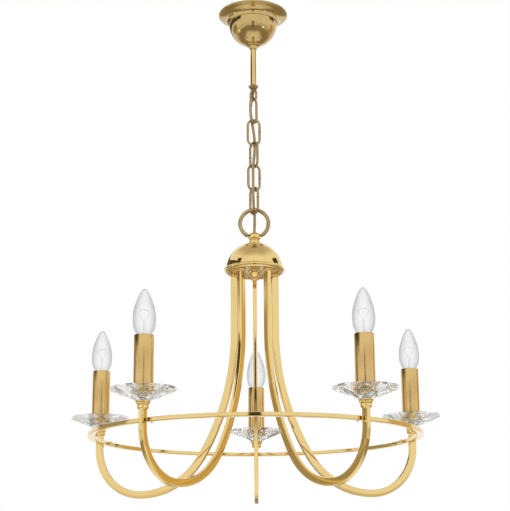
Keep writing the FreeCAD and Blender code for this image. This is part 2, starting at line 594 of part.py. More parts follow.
def crystal_dish():
    """A cut-crystal dish: kite facets above and below, and a narrow faceted edge all round."""
    n = DISH_FACETS
    edge_low = DISH_TOP_Z - DISH_EDGE
    flatness = math.cos(math.pi / n)
    under_slope = (edge_low - CUP_TOP_Z) / (DISH_R - DISH_HUB_R)
    upper_slope = (DISH_TOP_Z - DISH_FLOOR_Z) / (DISH_R - DISH_FLOOR_R)
    under_mid_z = CUP_TOP_Z + (DISH_MID_R * flatness - DISH_HUB_R) * under_slope
    upper_mid_z = DISH_FLOOR_Z + (DISH_UPPER_MID_R * flatness - DISH_FLOOR_R) * upper_slope
    hub = ring_of(n, DISH_HUB_R, CUP_TOP_Z)
    floor = ring_of(n, DISH_FLOOR_R, DISH_FLOOR_Z)
    under_mid = ring_of(n, DISH_MID_R, under_mid_z, 0.5)
    upper_mid = ring_of(n, DISH_UPPER_MID_R, upper_mid_z, 0.5)
    low_edge = ring_of(2 * n, DISH_R, edge_low)
    top_edge = ring_of(2 * n, DISH_R, DISH_TOP_Z)
    loops = [hub, floor]
    for inner, middle, edge in ((hub, under_mid, low_edge), (floor, upper_mid, top_edge)):
        for k in range(n):
            after = (k + 1) % n
            loops.append([inner[k], middle[k - 1], edge[2 * k], middle[k]])
            loops.append([inner[k], middle[k], inner[after]])
            loops.append([middle[k], edge[2 * k], edge[2 * k + 1]])
            loops.append([middle[k], edge[2 * k + 1], edge[2 * after]])
    for k in range(2 * n):
        after = (k + 1) % (2 * n)
        loops.append([low_edge[k], low_edge[after], top_edge[after], top_edge[k]])
    faces = [Part.Face(Part.makePolygon(loop + loop[:1])) for loop in loops]
    shell = Part.Shell(faces)
    shell.sewShape()
    solid = Part.Solid(shell)
    if solid.Volume < 0:
        solid.reverse()
    return at_candle(solid.cut(disc(THREAD_R, CUP_TOP_Z - 1, DISH_FLOOR_Z + 1)))


def candle_sleeves():
    low, top = DISH_FLOOR_Z, SLEEVE_TOP_Z
    inner = SLEEVE_R - SLEEVE_WALL
    tube = turned([(inner, low), (SLEEVE_R, low), (SLEEVE_R, top - 0.4), (SLEEVE_R - 0.4, top), (inner, top)])
    return around(at_candle(tube))


def lampholders():
    low, top, socket_r = LAMPHOLDER_LOW_Z, LAMPHOLDER_TOP_Z, 7.4
    holder = turned([(THREAD_R, low), (9.0, low), (LAMPHOLDER_R, low + 6), (LAMPHOLDER_R, top - 2),
                     (LAMPHOLDER_R - 1, top), (socket_r, top), (socket_r, top - 26), (WIRE_R + 0.7, top - 26),
                     (WIRE_R + 0.7, NIPPLE_TOP_Z), (THREAD_R, NIPPLE_TOP_Z)])
    return around(at_candle(holder))


def lamp_profile(wall):
    """Candle-lamp outline as (radius, z), from the tip down to the neck, moved in by a wall."""
    tip = LAMP_TIP_Z - wall
    points = [(0.0, tip), (2.7, tip - 0.9), (5.2, tip - 3.8), (8.4, tip - 9.6), (12.6, tip - 20.5),
              (15.7, tip - 31.0), (17.2, tip - 40.5), (LAMP_R, tip - 48.0), (16.7, tip - 57.0),
              (14.6, tip - 63.5), (11.2, tip - 70.0), (8.4, LAMP_CAP_TOP_Z)]
    return [(max(r - wall, 0.0), z) for r, z in points]


def lamp_glass():
    outer, inner = lamp_profile(0.0), lamp_profile(GLASS_WALL)
    foot = flat_line(outer[-1], inner[-1])
    tip = flat_line(outer[0], inner[0])
    return at_candle(turned_edges([flat_curve(outer), foot, flat_curve(inner), tip]))


def lamp_cap():
    """The screw cap with its thread, insulator and contact, and the glass mount with leads inside."""
    top = LAMP_CAP_TOP_Z
    low = LAMP_TIP_Z - LAMP_LENGTH
    corners = [(0, top), (8.4, top), (8.4, top - 1.2), (6.4, top - 2.4)]
    pitch = 2.8
    for turn in range(6):
        z = top - 2.8 - turn * pitch
        corners += [(7.05, z - 0.7), (6.5, z - 2.1)]
    corners += [(6.2, low + 2.6), (3.4, low + 1.2), (2.6, low), (0, low)]
    mount = turned([(0, top), (4.4, top), (2.2, top + 9), (1.7, top + 26), (0, top + 26)])
    leads = []
    for side in (-1, 1):
        foot, head = vec(side * 1.0, 0, top + 26), vec(side * 7.5, 0, top + 39)
        leads.append(Part.makeCylinder(0.35, (head - foot).Length, foot, head - foot))
    coil = Part.Arc(vec(-7.5, 0, top + 39), vec(0, 0, top + 45), vec(7.5, 0, top + 39))
    filament = tube_along(Part.Wire(coil.toShape()), 0.3)
    return at_candle(Part.makeCompound([turned(corners), mount, leads[0], leads[1], filament]))


# ---- build and export ----------------------------------------------------------------------------------
def flex_pieces():
    """The flex cut at each crossing, so that one length goes with each hanging part."""
    path, radii = rounded_path(FLEX_ROUTE)
    print("flex length %.1f, smallest bend radii %s"
          % (path.Length, [round(r, 1) for r in sorted(radii)[:5]]))
    whole = tube_along(path, FLEX_R)
    print("flex volume %.1f, section times length %.1f"
          % (whole.Volume, math.pi * FLEX_R ** 2 * path.Length))
    cuts = [0.0, EYE_LOW_WIRE] + LINK_LOW_WIRES + [PIN_Z, -500.0]
    lengths = [whole.common(slab(low, high)) for high, low in zip(cuts, cuts[1:])]
    return lengths, tube_along(path, FLEX_PASSAGE_R)


def build():
    lengths, passage = flex_pieces()
    nodes = {
        "ceiling_bracket": ceiling_bracket(), "bracket_nuts": bracket_nuts(),
        "terminal_block": terminal_block(), "stem_tube": stem_tube().cut(passage),
        "stem_collar": stem_collar(passage), "stem_eye": stem_eye(passage),
        "flex_stem": Part.makeCompound([lengths[0]] + flex_cores()),
        "canopy_flange": canopy_flange(), "canopy_cup": canopy_cup(), "canopy_collar": canopy_collar(),
        "canopy_grub_screw": canopy_grub_screw(), "suspension_ring": suspension_ring(),
        "flex_ring": lengths[LINK_COUNT + 1], "ring_boss": ring_boss(passage), "crown_dome": crown_dome(),
        "crown_plate": crown_plate(), "crown_rod": crown_rod(), "crown_nuts": crown_nuts(),
        "crown_finial": crown_finial(), "arm_ferrules": arm_ferrules(), "arm_fixings": arm_fixings(),
        "crown_wires": Part.makeCompound([lengths[LINK_COUNT + 2], around(arm_wire())]),
        "gallery_hoop": gallery_hoop(), "hoop_studs": hoop_studs(), "hoop_cap_nuts": hoop_cap_nuts(),
        "candle_nuts": candle_nuts(), "candle_cups": candle_cups(), "candle_nipples": candle_nipples(),
        "candle_sleeves": candle_sleeves(), "lampholders": lampholders()}
    for index in range(LINK_COUNT):
        nodes["chain_link_%d" % (index + 1)] = chain_link(index)
        nodes["flex_link_%d" % (index + 1)] = lengths[index + 1]
    at_arm = {"arm": arm(), "crystal_dish": crystal_dish(),
              "lamp_glass": lamp_glass(), "lamp_cap": lamp_cap()}
    for name, shape in at_arm.items():
        for index in range(ARM_COUNT):
            nodes["%s_%d" % (name, index + 1)] = spun(shape, 360.0 / ARM_COUNT * index)
    return nodes


os.makedirs("parts", exist_ok=True)
for node, piece in build().items():
    solids = piece.Solids
    if not solids or not all(s.isValid() and s.Volume > 0 for s in solids):
        print("CHECK", node, len(solids), [round(s.Volume, 2) for s in solids])
    piece.exportStep("parts/%s.step" % node)
    print("%-18s %2d solids %10.1f mm3" % (node, len(solids), sum(s.Volume for s in solids)))
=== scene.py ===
import json
import logging
import math
from dataclasses import dataclass, field
from enum import Enum
from typing import Sequence

import bmesh
import bpy
from mathutils import Matrix, Vector


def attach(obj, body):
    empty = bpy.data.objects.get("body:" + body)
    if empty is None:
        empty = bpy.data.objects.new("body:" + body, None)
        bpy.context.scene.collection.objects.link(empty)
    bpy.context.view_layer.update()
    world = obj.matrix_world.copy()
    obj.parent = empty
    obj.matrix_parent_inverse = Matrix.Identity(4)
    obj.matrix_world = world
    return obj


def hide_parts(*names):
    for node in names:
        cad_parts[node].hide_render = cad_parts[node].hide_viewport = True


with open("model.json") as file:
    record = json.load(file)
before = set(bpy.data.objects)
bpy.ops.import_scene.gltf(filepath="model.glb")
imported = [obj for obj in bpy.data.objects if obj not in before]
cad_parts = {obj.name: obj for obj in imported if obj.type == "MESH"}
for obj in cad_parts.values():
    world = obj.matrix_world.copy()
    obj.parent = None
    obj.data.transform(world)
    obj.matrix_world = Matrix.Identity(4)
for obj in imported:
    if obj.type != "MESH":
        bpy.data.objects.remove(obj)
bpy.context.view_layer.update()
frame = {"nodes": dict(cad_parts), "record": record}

LOG = logging.getLogger("chandelier")
MM = 0.001
ARM_COUNT = 5
FIRST_ARM = 90.0
ARM_STEP = 360.0 / ARM_COUNT
CANDLE_RADIUS = 276.5
PIN_HEIGHT = -406.53
TINY = 1e-6
NEARLY_STRAIGHT = math.radians(165)
MOST_OF_SIDE = 0.42
Point2 = tuple[float, float]
Point3 = tuple[float, float, float]
Colour = tuple[float, float, float]
Face = Sequence[int]
Mesh = tuple[list[Vector], list[list[int]]]
Station = tuple[Vector, Vector, Vector]
Tree = bpy.types.NodeTree
Node = bpy.types.Node
Socket = bpy.types.NodeSocket
Material = bpy.types.Material


class Slot(Enum):
    """The material slots of the record that the pieces take their finish from."""

    POLISHED = "polished_brass"
    BRUSHED = "brushed_brass"
    STEM = "stem_brass"
    CHAIN = "chain_brass"
    CRYSTAL = "cut_crystal"
    GLASS = "lamp_glass"
    CAP = "lamp_cap_metal"
    SHEATH = "flex_sheath"
    WIRE = "wire_sheath"
    HOLDER = "holder_plastic"
    TERMINAL = "terminal_plastic"
    STEEL = "zinc_steel"


# ---- shared shader groups --------------------------------------------------------------------------


class Groups:
    """The node groups that several finishes share, each built once."""

    @staticmethod
    def _new(name: str, inputs: Sequence[tuple[str, str, object]],
             outputs: Sequence[tuple[str, str]]) -> tuple[Tree, Node, Node]:
        """Starts a shader group.

        Args:
            name: the group's name.
            inputs: name, socket type and default of each input.
            outputs: name and socket type of each output.

        Returns:
            The group and its input and output nodes.
        """
        group = bpy.data.node_groups.new(name, "ShaderNodeTree")
        for label, kind, default in inputs:
            socket = group.interface.new_socket(label, in_out="INPUT", socket_type=kind)
            socket.default_value = default
        for label, kind in outputs:
            group.interface.new_socket(label, in_out="OUTPUT", socket_type=kind)
        return group, group.nodes.new("NodeGroupInput"), group.nodes.new("NodeGroupOutput")

    @staticmethod
    def _math(group: Tree, kind: str, a: Socket | float, b: Socket | float) -> Socket:
        """Adds a maths node.

        Args:
            group: the node tree.
            kind: the operation.
            a: first socket or number.
            b: second socket or number.

        Returns:
            Its value socket.
        """
        node = group.nodes.new("ShaderNodeMath")
        node.operation = kind
        for socket, value in zip(node.inputs, (a, b)):
            if isinstance(value, (int, float)):
                socket.default_value = value
            else:
                group.links.new(value, socket)
        return node.outputs[0]

    @staticmethod
    def _noise(group: Tree, vector: Socket, scale: Socket | float, detail: float = 3.0,
               roughness: float = 0.55) -> Socket:
        """Adds a noise texture.

        Args:
            group: the node tree.
            vector: coordinate socket.
            scale: socket or number.
            detail: octaves.
            roughness: weight of the finer octaves.

        Returns:
            Its factor socket.
        """
        node = group.nodes.new("ShaderNodeTexNoise")
        node.inputs["Detail"].default_value = detail
        node.inputs["Roughness"].default_value = roughness
        if isinstance(scale, (int, float)):
            node.inputs["Scale"].default_value = scale
        else:
            group.links.new(scale, node.inputs["Scale"])
        group.links.new(vector, node.inputs["Vector"])
        return node.outputs["Fac"]

    @staticmethod
    def _range(group: Tree, value: Socket, low: float, high: float, to_low: Socket | float = 0.0,
               to_high: Socket | float = 1.0) -> Socket:
        """Adds a smooth map range.

        Args:
            group: the node tree.
            value: socket that is mapped.
            low: lowest value.
            high: highest value.
            to_low: result at the lowest, a socket or number.
            to_high: result at the highest, a socket or number.

        Returns:
            The result socket.
        """
        node = group.nodes.new("ShaderNodeMapRange")
        node.interpolation_type = "SMOOTHSTEP"
        node.inputs["From Min"].default_value = low
        node.inputs["From Max"].default_value = high
        for label, number in (("To Min", to_low), ("To Max", to_high)):
            if isinstance(number, (int, float)):
                node.inputs[label].default_value = number
            else:
                group.links.new(number, node.inputs[label])
        group.links.new(value, node.inputs["Value"])
        return node.outputs["Result"]

    @staticmethod
    def _mix(group: Tree, factor: Socket, a: Socket, b: Socket) -> Socket:
        """Adds a colour mix.

        Args:
            group: the node tree.
            factor: factor socket.
            a: first colour socket.
            b: second colour socket.

        Returns:
            The mixed colour socket.
        """
        node = group.nodes.new("ShaderNodeMix")
        node.data_type = "RGBA"
        for socket, value in ((node.inputs[0], factor), (node.inputs[6], a), (node.inputs[7], b)):
            group.links.new(value, socket)
        return node.outputs[2]

    @classmethod
    def patina(cls) -> Tree:
        """Slow cloudy toning of a lacquered metal, with small darker specks.

        Returns:
            The group: colour and mask out.
        """
        found = bpy.data.node_groups.get("patina")
        if found:
            return found
        group, source, sink = cls._new(
            "patina",
            [("Metal", "NodeSocketColor", (1, 1, 1, 1)), ("Toned", "NodeSocketColor", (0.5, 0.4, 0.2, 1)),
             ("Scale", "NodeSocketFloat", 20.0), ("Amount", "NodeSocketFloat", 0.3),
             ("Specks", "NodeSocketFloat", 0.1)],
            [("Colour", "NodeSocketColor"), ("Mask", "NodeSocketFloat")])
        place = group.nodes.new("ShaderNodeTexCoord").outputs["Object"]
        cloud = cls._range(group, cls._noise(group, place, source.outputs["Scale"], 4.0), 0.42, 0.72)
        fine = cls._math(group, "MULTIPLY", source.outputs["Scale"], 22.0)
        speck = cls._range(group, cls._noise(group, place, fine, 2.0), 0.66, 0.74)
        speck = cls._math(group, "MULTIPLY", speck, source.outputs["Specks"])
        mask = cls._math(group, "MULTIPLY", cloud, source.outputs["Amount"])
        mask = cls._math(group, "MAXIMUM", mask, speck)
        colour = cls._mix(group, mask, source.outputs["Metal"], source.outputs["Toned"])
        group.links.new(colour, sink.inputs["Colour"])
        group.links.new(mask, sink.inputs["Mask"])
        return group

    @classmethod
    def grain(cls) -> Tree:
        """Fine drawn lines and smears: a roughness and a height that run along one direction.

        Returns:
            The group: roughness and height out.
        """
        found = bpy.data.node_groups.get("grain")
        if found:
            return found
        group, source, sink = cls._new(
            "grain",
            [("Stretch", "NodeSocketVector", (1.0, 1.0, 1.0)), ("Scale", "NodeSocketFloat", 400.0),
             ("Smooth", "NodeSocketFloat", 0.06), ("Rough", "NodeSocketFloat", 0.16)],
            [("Roughness", "NodeSocketFloat"), ("Height", "NodeSocketFloat")])
        place = group.nodes.new("ShaderNodeTexCoord").outputs["Object"]
        scaled = group.nodes.new("ShaderNodeVectorMath")
        scaled.operation = "MULTIPLY"
        group.links.new(place, scaled.inputs[0])
        group.links.new(source.outputs["Stretch"], scaled.inputs[1])
        lines = cls._noise(group, scaled.outputs[0], source.outputs["Scale"], 5.0, 0.7)
        smear = cls._noise(group, place, 38.0, 3.0)
        both = cls._math(group, "ADD", cls._math(group, "MULTIPLY", lines, 0.6),
                         cls._math(group, "MULTIPLY", smear, 0.4))
        rough = cls._range(group, both, 0.36, 0.66, source.outputs["Smooth"], source.outputs["Rough"])
        group.links.new(rough, sink.inputs["Roughness"])
        group.links.new(lines, sink.inputs["Height"])
        return group

    @classmethod
    def dust(cls) -> Tree:
        """A thin film of dust on what faces up.

        Returns:
            The group: colour and mask out.
        """
        found = bpy.data.node_groups.get("dust")
        if found:
            return found
        group, source, sink = cls._new(
            "dust",
            [("Surface", "NodeSocketColor", (1, 1, 1, 1)), ("Film", "NodeSocketColor", (0.7, 0.67, 0.6, 1)),
             ("Amount", "NodeSocketFloat", 0.1)],
            [("Colour", "NodeSocketColor"), ("Mask", "NodeSocketFloat")])
        upward = group.nodes.new("ShaderNodeSeparateXYZ")
        group.links.new(group.nodes.new("ShaderNodeNewGeometry").outputs["Normal"], upward.inputs[0])
        facing = cls._range(group, upward.outputs["Z"], 0.35, 0.98)
        place = group.nodes.new("ShaderNodeTexCoord").outputs["Object"]
        spread = cls._range(group, cls._noise(group, place, 260.0, 4.0), 0.35, 0.7)
        mask = cls._math(group, "MULTIPLY", cls._math(group, "MULTIPLY", facing, spread),
                         source.outputs["Amount"])
        group.links.new(cls._mix(group, mask, source.outputs["Surface"], source.outputs["Film"]),
                        sink.inputs["Colour"])
        group.links.new(mask, sink.inputs["Mask"])
        return group


# ---- finishes ----------------------------------------------------------------------------------------


def start_material(name: str) -> tuple[Material, Tree, Node]:
    """Makes an empty material.

    Args:
        name: the material's name.

    Returns:
        The material, its node tree and its Principled shader.
    """
    material = bpy.data.materials.new(name)
    material.use_nodes = True
    tree = material.node_tree
    tree.nodes.clear()
    shader = tree.nodes.new("ShaderNodeBsdfPrincipled")
    output = tree.nodes.new("ShaderNodeOutputMaterial")
    tree.links.new(shader.outputs[0], output.inputs["Surface"])
    return material, tree, shader


def place_group(tree: Tree, group: Tree, values: dict[str, object]) -> Node:
    """Puts a shared group into a material.

    Args:
        tree: the material's node tree.
        group: the node group.
        values: what its inputs are set to.

    Returns:
        The group node.
    """
    node = tree.nodes.new("ShaderNodeGroup")
    node.node_tree = group
    for label, value in values.items():
        node.inputs[label].default_value = value
    return node


def dress_skin(tree: Tree, shader: Node, patina: dict[str, object], grain: dict[str, object], dust: float,
               bump: tuple[float, float]) -> None:
    """Gives a shader the toned colour, drawn grain and dust that metal and mouldings share.

    Args:
        tree: the material's node tree.
        shader: its Principled shader.
        patina: what the patina group's inputs are set to.
        grain: what the grain group's inputs are set to.
        dust: how much dust lies on it.
        bump: strength and depth of the grain's relief.
    """
    toned = place_group(tree, Groups.patina(), patina)
    lines = place_group(tree, Groups.grain(), grain)
    film = place_group(tree, Groups.dust(), {"Amount": dust})
    tree.links.new(toned.outputs["Colour"], film.inputs["Surface"])
    tree.links.new(film.outputs["Colour"], shader.inputs["Base Color"])
    tree.links.new(lines.outputs["Roughness"], shader.inputs["Roughness"])
    relief = tree.nodes.new("ShaderNodeBump")
    relief.inputs["Strength"].default_value, relief.inputs["Distance"].default_value = bump
    tree.links.new(lines.outputs["Height"], relief.inputs["Height"])
    tree.links.new(relief.outputs["Normal"], shader.inputs["Normal"])


@dataclass(frozen=True)
class Brass:
    """A brass finish: lacquered colour, toning, drawn grain and a little dust."""

    name: str
    metal: Colour
    toned: Colour
    smooth: float
    rough: float
    toning: float = 0.25
    toning_scale: float = 16.0
    specks: float = 0.06
    stretch: Colour = (1.0, 1.0, 1.0)
    grain_scale: float = 300.0
    bump: float = 0.02
    bump_depth: float = 0.0002
    dust: float = 0.05

    def material(self) -> Material:
        """Builds the finish.

        Returns:
            The material.
        """
        found = bpy.data.materials.get(self.name)
        if found:
            return found
        material, tree, shader = start_material(self.name)
        dress_skin(tree, shader,
                   {"Metal": (*self.metal, 1), "Toned": (*self.toned, 1), "Scale": self.toning_scale,
                    "Amount": self.toning, "Specks": self.specks},
                   {"Stretch": self.stretch, "Scale": self.grain_scale, "Smooth": self.smooth,
                    "Rough": self.rough},
                   self.dust, (self.bump, self.bump_depth))
        shader.inputs["Metallic"].default_value = 1.0
        return material


@dataclass(frozen=True)
class Moulding:
    """Moulded plastic or sheath: a colour with soft mottling, fine texture and dust."""

    name: str
    colour: Colour
    darker: Colour
    smooth: float
    rough: float
    texture_scale: float = 900.0
    bump: float = 0.15
    stretch: Colour = (1.0, 1.0, 1.0)
    sheen: float = 0.0
    dust: float = 0.1
    mottle_scale: float = 60.0
    mottle: float = 0.5
    specks: float = 0.15
    bump_depth: float = 0.0002

    def material(self) -> Material:
        """Builds the finish.

        Returns:
            The material.
        """
        found = bpy.data.materials.get(self.name)
        if found:
            return found
        material, tree, shader = start_material(self.name)
        dress_skin(tree, shader,
                   {"Metal": (*self.colour, 1), "Toned": (*self.darker, 1), "Scale": self.mottle_scale,
                    "Amount": self.mottle, "Specks": self.specks},
                   {"Stretch": self.stretch, "Scale": self.texture_scale, "Smooth": self.smooth,
                    "Rough": self.rough},
                   self.dust, (self.bump, self.bump_depth))
        shader.inputs["Sheen Weight"].default_value = self.sheen
        return material


# Painted reflections of the cut crystal: each facet is tinted white, grey, faint pink, faint green, blue or
# near black, and given a clearness from FACET_ALPHA, by the way it faces.
FACET_STEP = 0.03
FACET_ALPHA = (0.35, 0.97)
FACET_PAINTED_REFLECTIONS = ((0.0, (1.0, 1.0, 1.0)), (0.50, (0.96, 0.97, 0.98)), (0.66, (0.86, 0.87, 0.88)),
                (0.77, (1.0, 0.94, 0.92)), (0.83, (0.92, 1.0, 0.95)), (0.88, (0.42, 0.74, 0.96)),
                (0.905, (0.14, 0.14, 0.15)))


@dataclass(frozen=True)
class Glass:
    """Clear glass, blown or cut."""

    name: str
    tint: Colour
    index: float
    smooth: float = 0.0
    rough: float = 0.02
    facets: bool = False
    # The colour of painted shade where the glass is seen edge on.
    rim: Colour | None = None

    def material(self) -> Material:
        """Builds the finish. Cut crystal takes a painted reflection on each facet.

        Returns:
            The material.
        """
        found = bpy.data.materials.get(self.name)
        if found:
            return found
        material, tree, shader = start_material(self.name)
        grain = place_group(tree, Groups.grain(), {"Scale": 60.0, "Smooth": self.smooth, "Rough": self.rough})
        patina = place_group(tree, Groups.patina(), {
            "Metal": (*self.tint, 1), "Toned": (*[0.93 * c for c in self.tint], 1), "Scale": 30.0,
            "Amount": 0.5, "Specks": 0.0})
        colour = patina.outputs["Colour"]
        if self.facets:
            colour = self.paint_facet_reflections(tree, shader, colour)
        if self.rim:
            colour = self.paint_rim_shade(tree, colour)
        tree.links.new(colour, shader.inputs["Base Color"])
        tree.links.new(grain.outputs["Roughness"], shader.inputs["Roughness"])
        shader.inputs["Transmission Weight"].default_value = 1.0
        shader.inputs["IOR"].default_value = self.index
        return material

    def paint_facet_reflections(self, tree: Tree, shader: Node, colour: Socket) -> Socket:
        """Paints a reflection on each cut facet: a shade and a clearness of its own, by the way it faces.

        Args:
            tree: the material's node tree.
            shader: its Principled shader, whose alpha is linked.
            colour: the colour so far.

        Returns:
            The tinted colour.
        """
        snap = tree.nodes.new("ShaderNodeVectorMath")
        snap.operation = "SNAP"
        snap.inputs[1].default_value = (FACET_STEP,) * 3
        tree.links.new(tree.nodes.new("ShaderNodeNewGeometry").outputs["True Normal"], snap.inputs[0])
        facet = tree.nodes.new("ShaderNodeTexWhiteNoise")
        tree.links.new(snap.outputs[0], facet.inputs["Vector"])
        ramp = tree.nodes.new("ShaderNodeValToRGB")
        ramp.color_ramp.interpolation = "CONSTANT"
        elements = ramp.color_ramp.elements
        elements[0].color, elements[1].position = (*FACET_PAINTED_REFLECTIONS[0][1], 1.0), FACET_PAINTED_REFLECTIONS[-1][0]
        elements[1].color = (*FACET_PAINTED_REFLECTIONS[-1][1], 1.0)
        for at, shade in FACET_PAINTED_REFLECTIONS[1:-1]:
            elements.new(at).color = (*shade, 1.0)
        tree.links.new(facet.outputs["Value"], ramp.inputs["Fac"])
        tint = tree.nodes.new("ShaderNodeMix")
        tint.data_type, tint.blend_type = "RGBA", "MULTIPLY"
        tint.inputs[0].default_value = 1.0
        tree.links.new(colour, tint.inputs[6])
        tree.links.new(ramp.outputs["Color"], tint.inputs[7])
        clear = tree.nodes.new("ShaderNodeMapRange")
        clear.inputs["To Min"].default_value, clear.inputs["To Max"].default_value = FACET_ALPHA
        tree.links.new(facet.outputs["Value"], clear.inputs["Value"])
        tree.links.new(clear.outputs["Result"], shader.inputs["Alpha"])
        return tint.outputs[2]

    def paint_rim_shade(self, tree: Tree, colour: Socket) -> Socket:
        """Paints shade on the glass where it is seen edge on, darker towards the rim.

        Args:
            tree: the material's node tree.
            colour: the colour so far.

        Returns:
            The colour with the rim in it.
        """
        weight = tree.nodes.new("ShaderNodeLayerWeight")
        weight.inputs["Blend"].default_value = 0.5
        edge = tree.nodes.new("ShaderNodeMix")
        edge.data_type = "RGBA"
        edge.inputs[7].default_value = (*self.rim, 1.0)
        tree.links.new(weight.outputs["Facing"], edge.inputs[0])
        tree.links.new(colour, edge.inputs[6])
        return edge.outputs[2]


FINISHES = {
    Slot.POLISHED: Brass("polished brass", (0.82, 0.615, 0.265), (0.67, 0.46, 0.15), 0.035, 0.085,
                         toning=0.25),
    Slot.BRUSHED: Brass("drawn brass", (0.68, 0.475, 0.20), (0.45, 0.28, 0.10), 0.10, 0.21, toning=0.35,
                        stretch=(1.0, 1.0, 0.012), grain_scale=420.0, bump=0.5, bump_depth=0.0003,
                        toning_scale=24.0),
    Slot.STEM: Brass("stem brass", (0.72, 0.51, 0.21), (0.50, 0.32, 0.11), 0.07, 0.15, toning=0.3,
                     stretch=(1.0, 1.0, 0.03), grain_scale=500.0, bump=0.12),
    Slot.CHAIN: Brass("antiqued chain brass", (0.47, 0.35, 0.18), (0.25, 0.165, 0.075), 0.18, 0.36,
                      toning=0.45, toning_scale=60.0, specks=0.25, grain_scale=400.0, bump=0.15, dust=0.08),
    # Cut crystal takes painted reflections on its facets.
    Slot.CRYSTAL: Glass("cut crystal", (0.985, 0.99, 0.99), 1.5, 0.0, 0.012, facets=True),
    # Lamp glass takes painted shade where it is seen edge on.
    Slot.GLASS: Glass("blown lamp glass", (0.975, 0.977, 0.975), 1.18, 0.0, 0.012, rim=(0.52, 0.53, 0.54)),
    Slot.CAP: Brass("nickelled cap", (0.72, 0.69, 0.60), (0.45, 0.42, 0.34), 0.16, 0.30, toning=0.4,
                    toning_scale=80.0, bump=0.1),
    Slot.SHEATH: Moulding("gold flex sheath", (0.36, 0.255, 0.11), (0.20, 0.135, 0.055), 0.30, 0.48,
                          stretch=(1.0, 1.0, 0.6), sheen=0.1),
    Slot.WIRE: Moulding("clear wire sheath", (0.75, 0.73, 0.66), (0.6, 0.57, 0.5), 0.25, 0.4),
    Slot.HOLDER: Moulding("ivory holder", (0.80, 0.77, 0.68), (0.66, 0.62, 0.52), 0.35, 0.55),
    Slot.TERMINAL: Moulding("terminal nylon", (0.82, 0.82, 0.78), (0.68, 0.67, 0.62), 0.35, 0.55),
    Slot.STEEL: Brass("zinc steel", (0.62, 0.62, 0.60), (0.42, 0.42, 0.40), 0.22, 0.42, toning=0.45,
                      toning_scale=55.0, specks=0.2, bump=0.15),
}
# Canopy brass painted darker than the polished brass: painted shade for the dimmer light up by the ceiling.
# Its cloudy toning and specks are the metal's own.
CANOPY_SHADED_BRASS = Brass("canopy brass with painted shade", (0.565, 0.415, 0.18), (0.40, 0.265, 0.10), 0.09, 0.17, toning=0.4,
              toning_scale=22.0, specks=0.1)
# Pale brass for the crown plate and the lip inside the dome's skirt: a painted highlight, much lighter than
# the polished brass.
PLATE_HIGHLIGHT_BRASS = Brass("brass with painted highlight", (1.0, 0.96, 0.86), (0.97, 0.90, 0.76), 0.42, 0.6, toning=0.3)
WELD = Brass("tarnished weld", (0.16, 0.11, 0.06), (0.07, 0.05, 0.03), 0.4, 0.6, toning=0.5,
             toning_scale=300.0, bump=0.4)
FILAMENT = Brass("tungsten", (0.66, 0.66, 0.66), (0.45, 0.45, 0.45), 0.25, 0.4)
MOUNT_GLASS = Glass("lamp mount glass", (0.96, 0.97, 0.97), 1.5, 0.02, 0.08)


# ---- mesh making --------------------------------------------------------------------------------------


def add_piece(name: str, vertices: Sequence[Vector], faces: Sequence[Face], slot: Slot, body: str,
              node: str | None = None, finish: Brass | Glass | None = None, smooth: bool = True,
              sharp: float = 32.0, origin: Vector | None = None) -> bpy.types.Object:
    """Makes one piece from vertices in millimetres, sets it riding and takes a node's place.

    Args:
        name: the piece's name.
        vertices: its points, in millimetres in the row frame.
        faces: its faces.
        slot: the record's slot it is finished with.
        body: the body it rides on.
        node: the carried-over node that it replaces, if any.
        finish: a finish other than the slot's own.
        smooth: shade it smoothly, with edges over the sharp angle kept.
        sharp: that angle in degrees.
        origin: where the object's own origin lies, in millimetres.

    Returns:
        The object.
    """
    shift = Vector(origin) if origin else Vector((0, 0, 0))
    mesh = bpy.data.meshes.new(name)
    mesh.from_pydata([(Vector(v) - shift) * MM for v in vertices], [], faces)
    mesh.validate()
    work = bmesh.new()
    work.from_mesh(mesh)
    bmesh.ops.recalc_face_normals(work, faces=work.faces)
    work.to_mesh(mesh)
    work.free()
    if smooth:
        mesh.shade_smooth()
        mesh.set_sharp_from_angle(angle=math.radians(sharp))
    mesh.materials.append((finish or FINISHES[slot]).material())
    piece = bpy.data.objects.new(name, mesh)
    bpy.context.scene.collection.objects.link(piece)
    piece.location = shift * MM
    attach(piece, body)
    if node:
        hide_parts(node)
    return piece


def rounded(outline: Sequence[Point2], radius: float, steps: int = 3, closed: bool = True) -> list[Point2]:
    """Rounds each corner of an outline.

    Args:
        outline: its corners.
        radius: the rounding, smaller where a side is short.
        steps: how many points each rounding takes.
        closed: whether the last corner joins the first.

    Returns:
        The new outline.
    """
    points = [Vector(p) for p in outline]
    count, made = len(points), []
    for k, corner in enumerate(points):
        if not closed and k in (0, count - 1):
            made.append(corner)
            continue
        back, ahead = points[k - 1] - corner, points[(k + 1) % count] - corner
        if back.length < TINY or ahead.length < TINY or abs(corner.x) < TINY:
            made.append(corner)
            continue
        angle = back.angle(ahead)
        if angle > NEARLY_STRAIGHT:
            made.append(corner)
            continue
        cut = min(radius / math.tan(angle / 2), MOST_OF_SIDE * back.length, MOST_OF_SIDE * ahead.length)
        a, b = corner + back.normalized() * cut, corner + ahead.normalized() * cut
        for s in range(steps + 1):
            t = s / steps
            made.append(a.lerp(corner, t).lerp(corner.lerp(b, t), t))
    return [(p.x, p.y) for p in made]


def arc2(centre: Point2, radius: float | Point2, start: float, end: float, steps: int) -> list[Point2]:
    """Points on an arc.

    Args:
        centre: its centre.
        radius: its radius, or a pair of half axes.
        start: first angle in degrees.
        end: last angle in degrees.
        steps: number of spans.

    Returns:
        The points, both ends included.
    """
    across, up = radius if isinstance(radius, tuple) else (radius, radius)
    angles = [math.radians(start + (end - start) * k / steps) for k in range(steps + 1)]
    return [(centre[0] + across * math.cos(a), centre[1] + up * math.sin(a)) for a in angles]


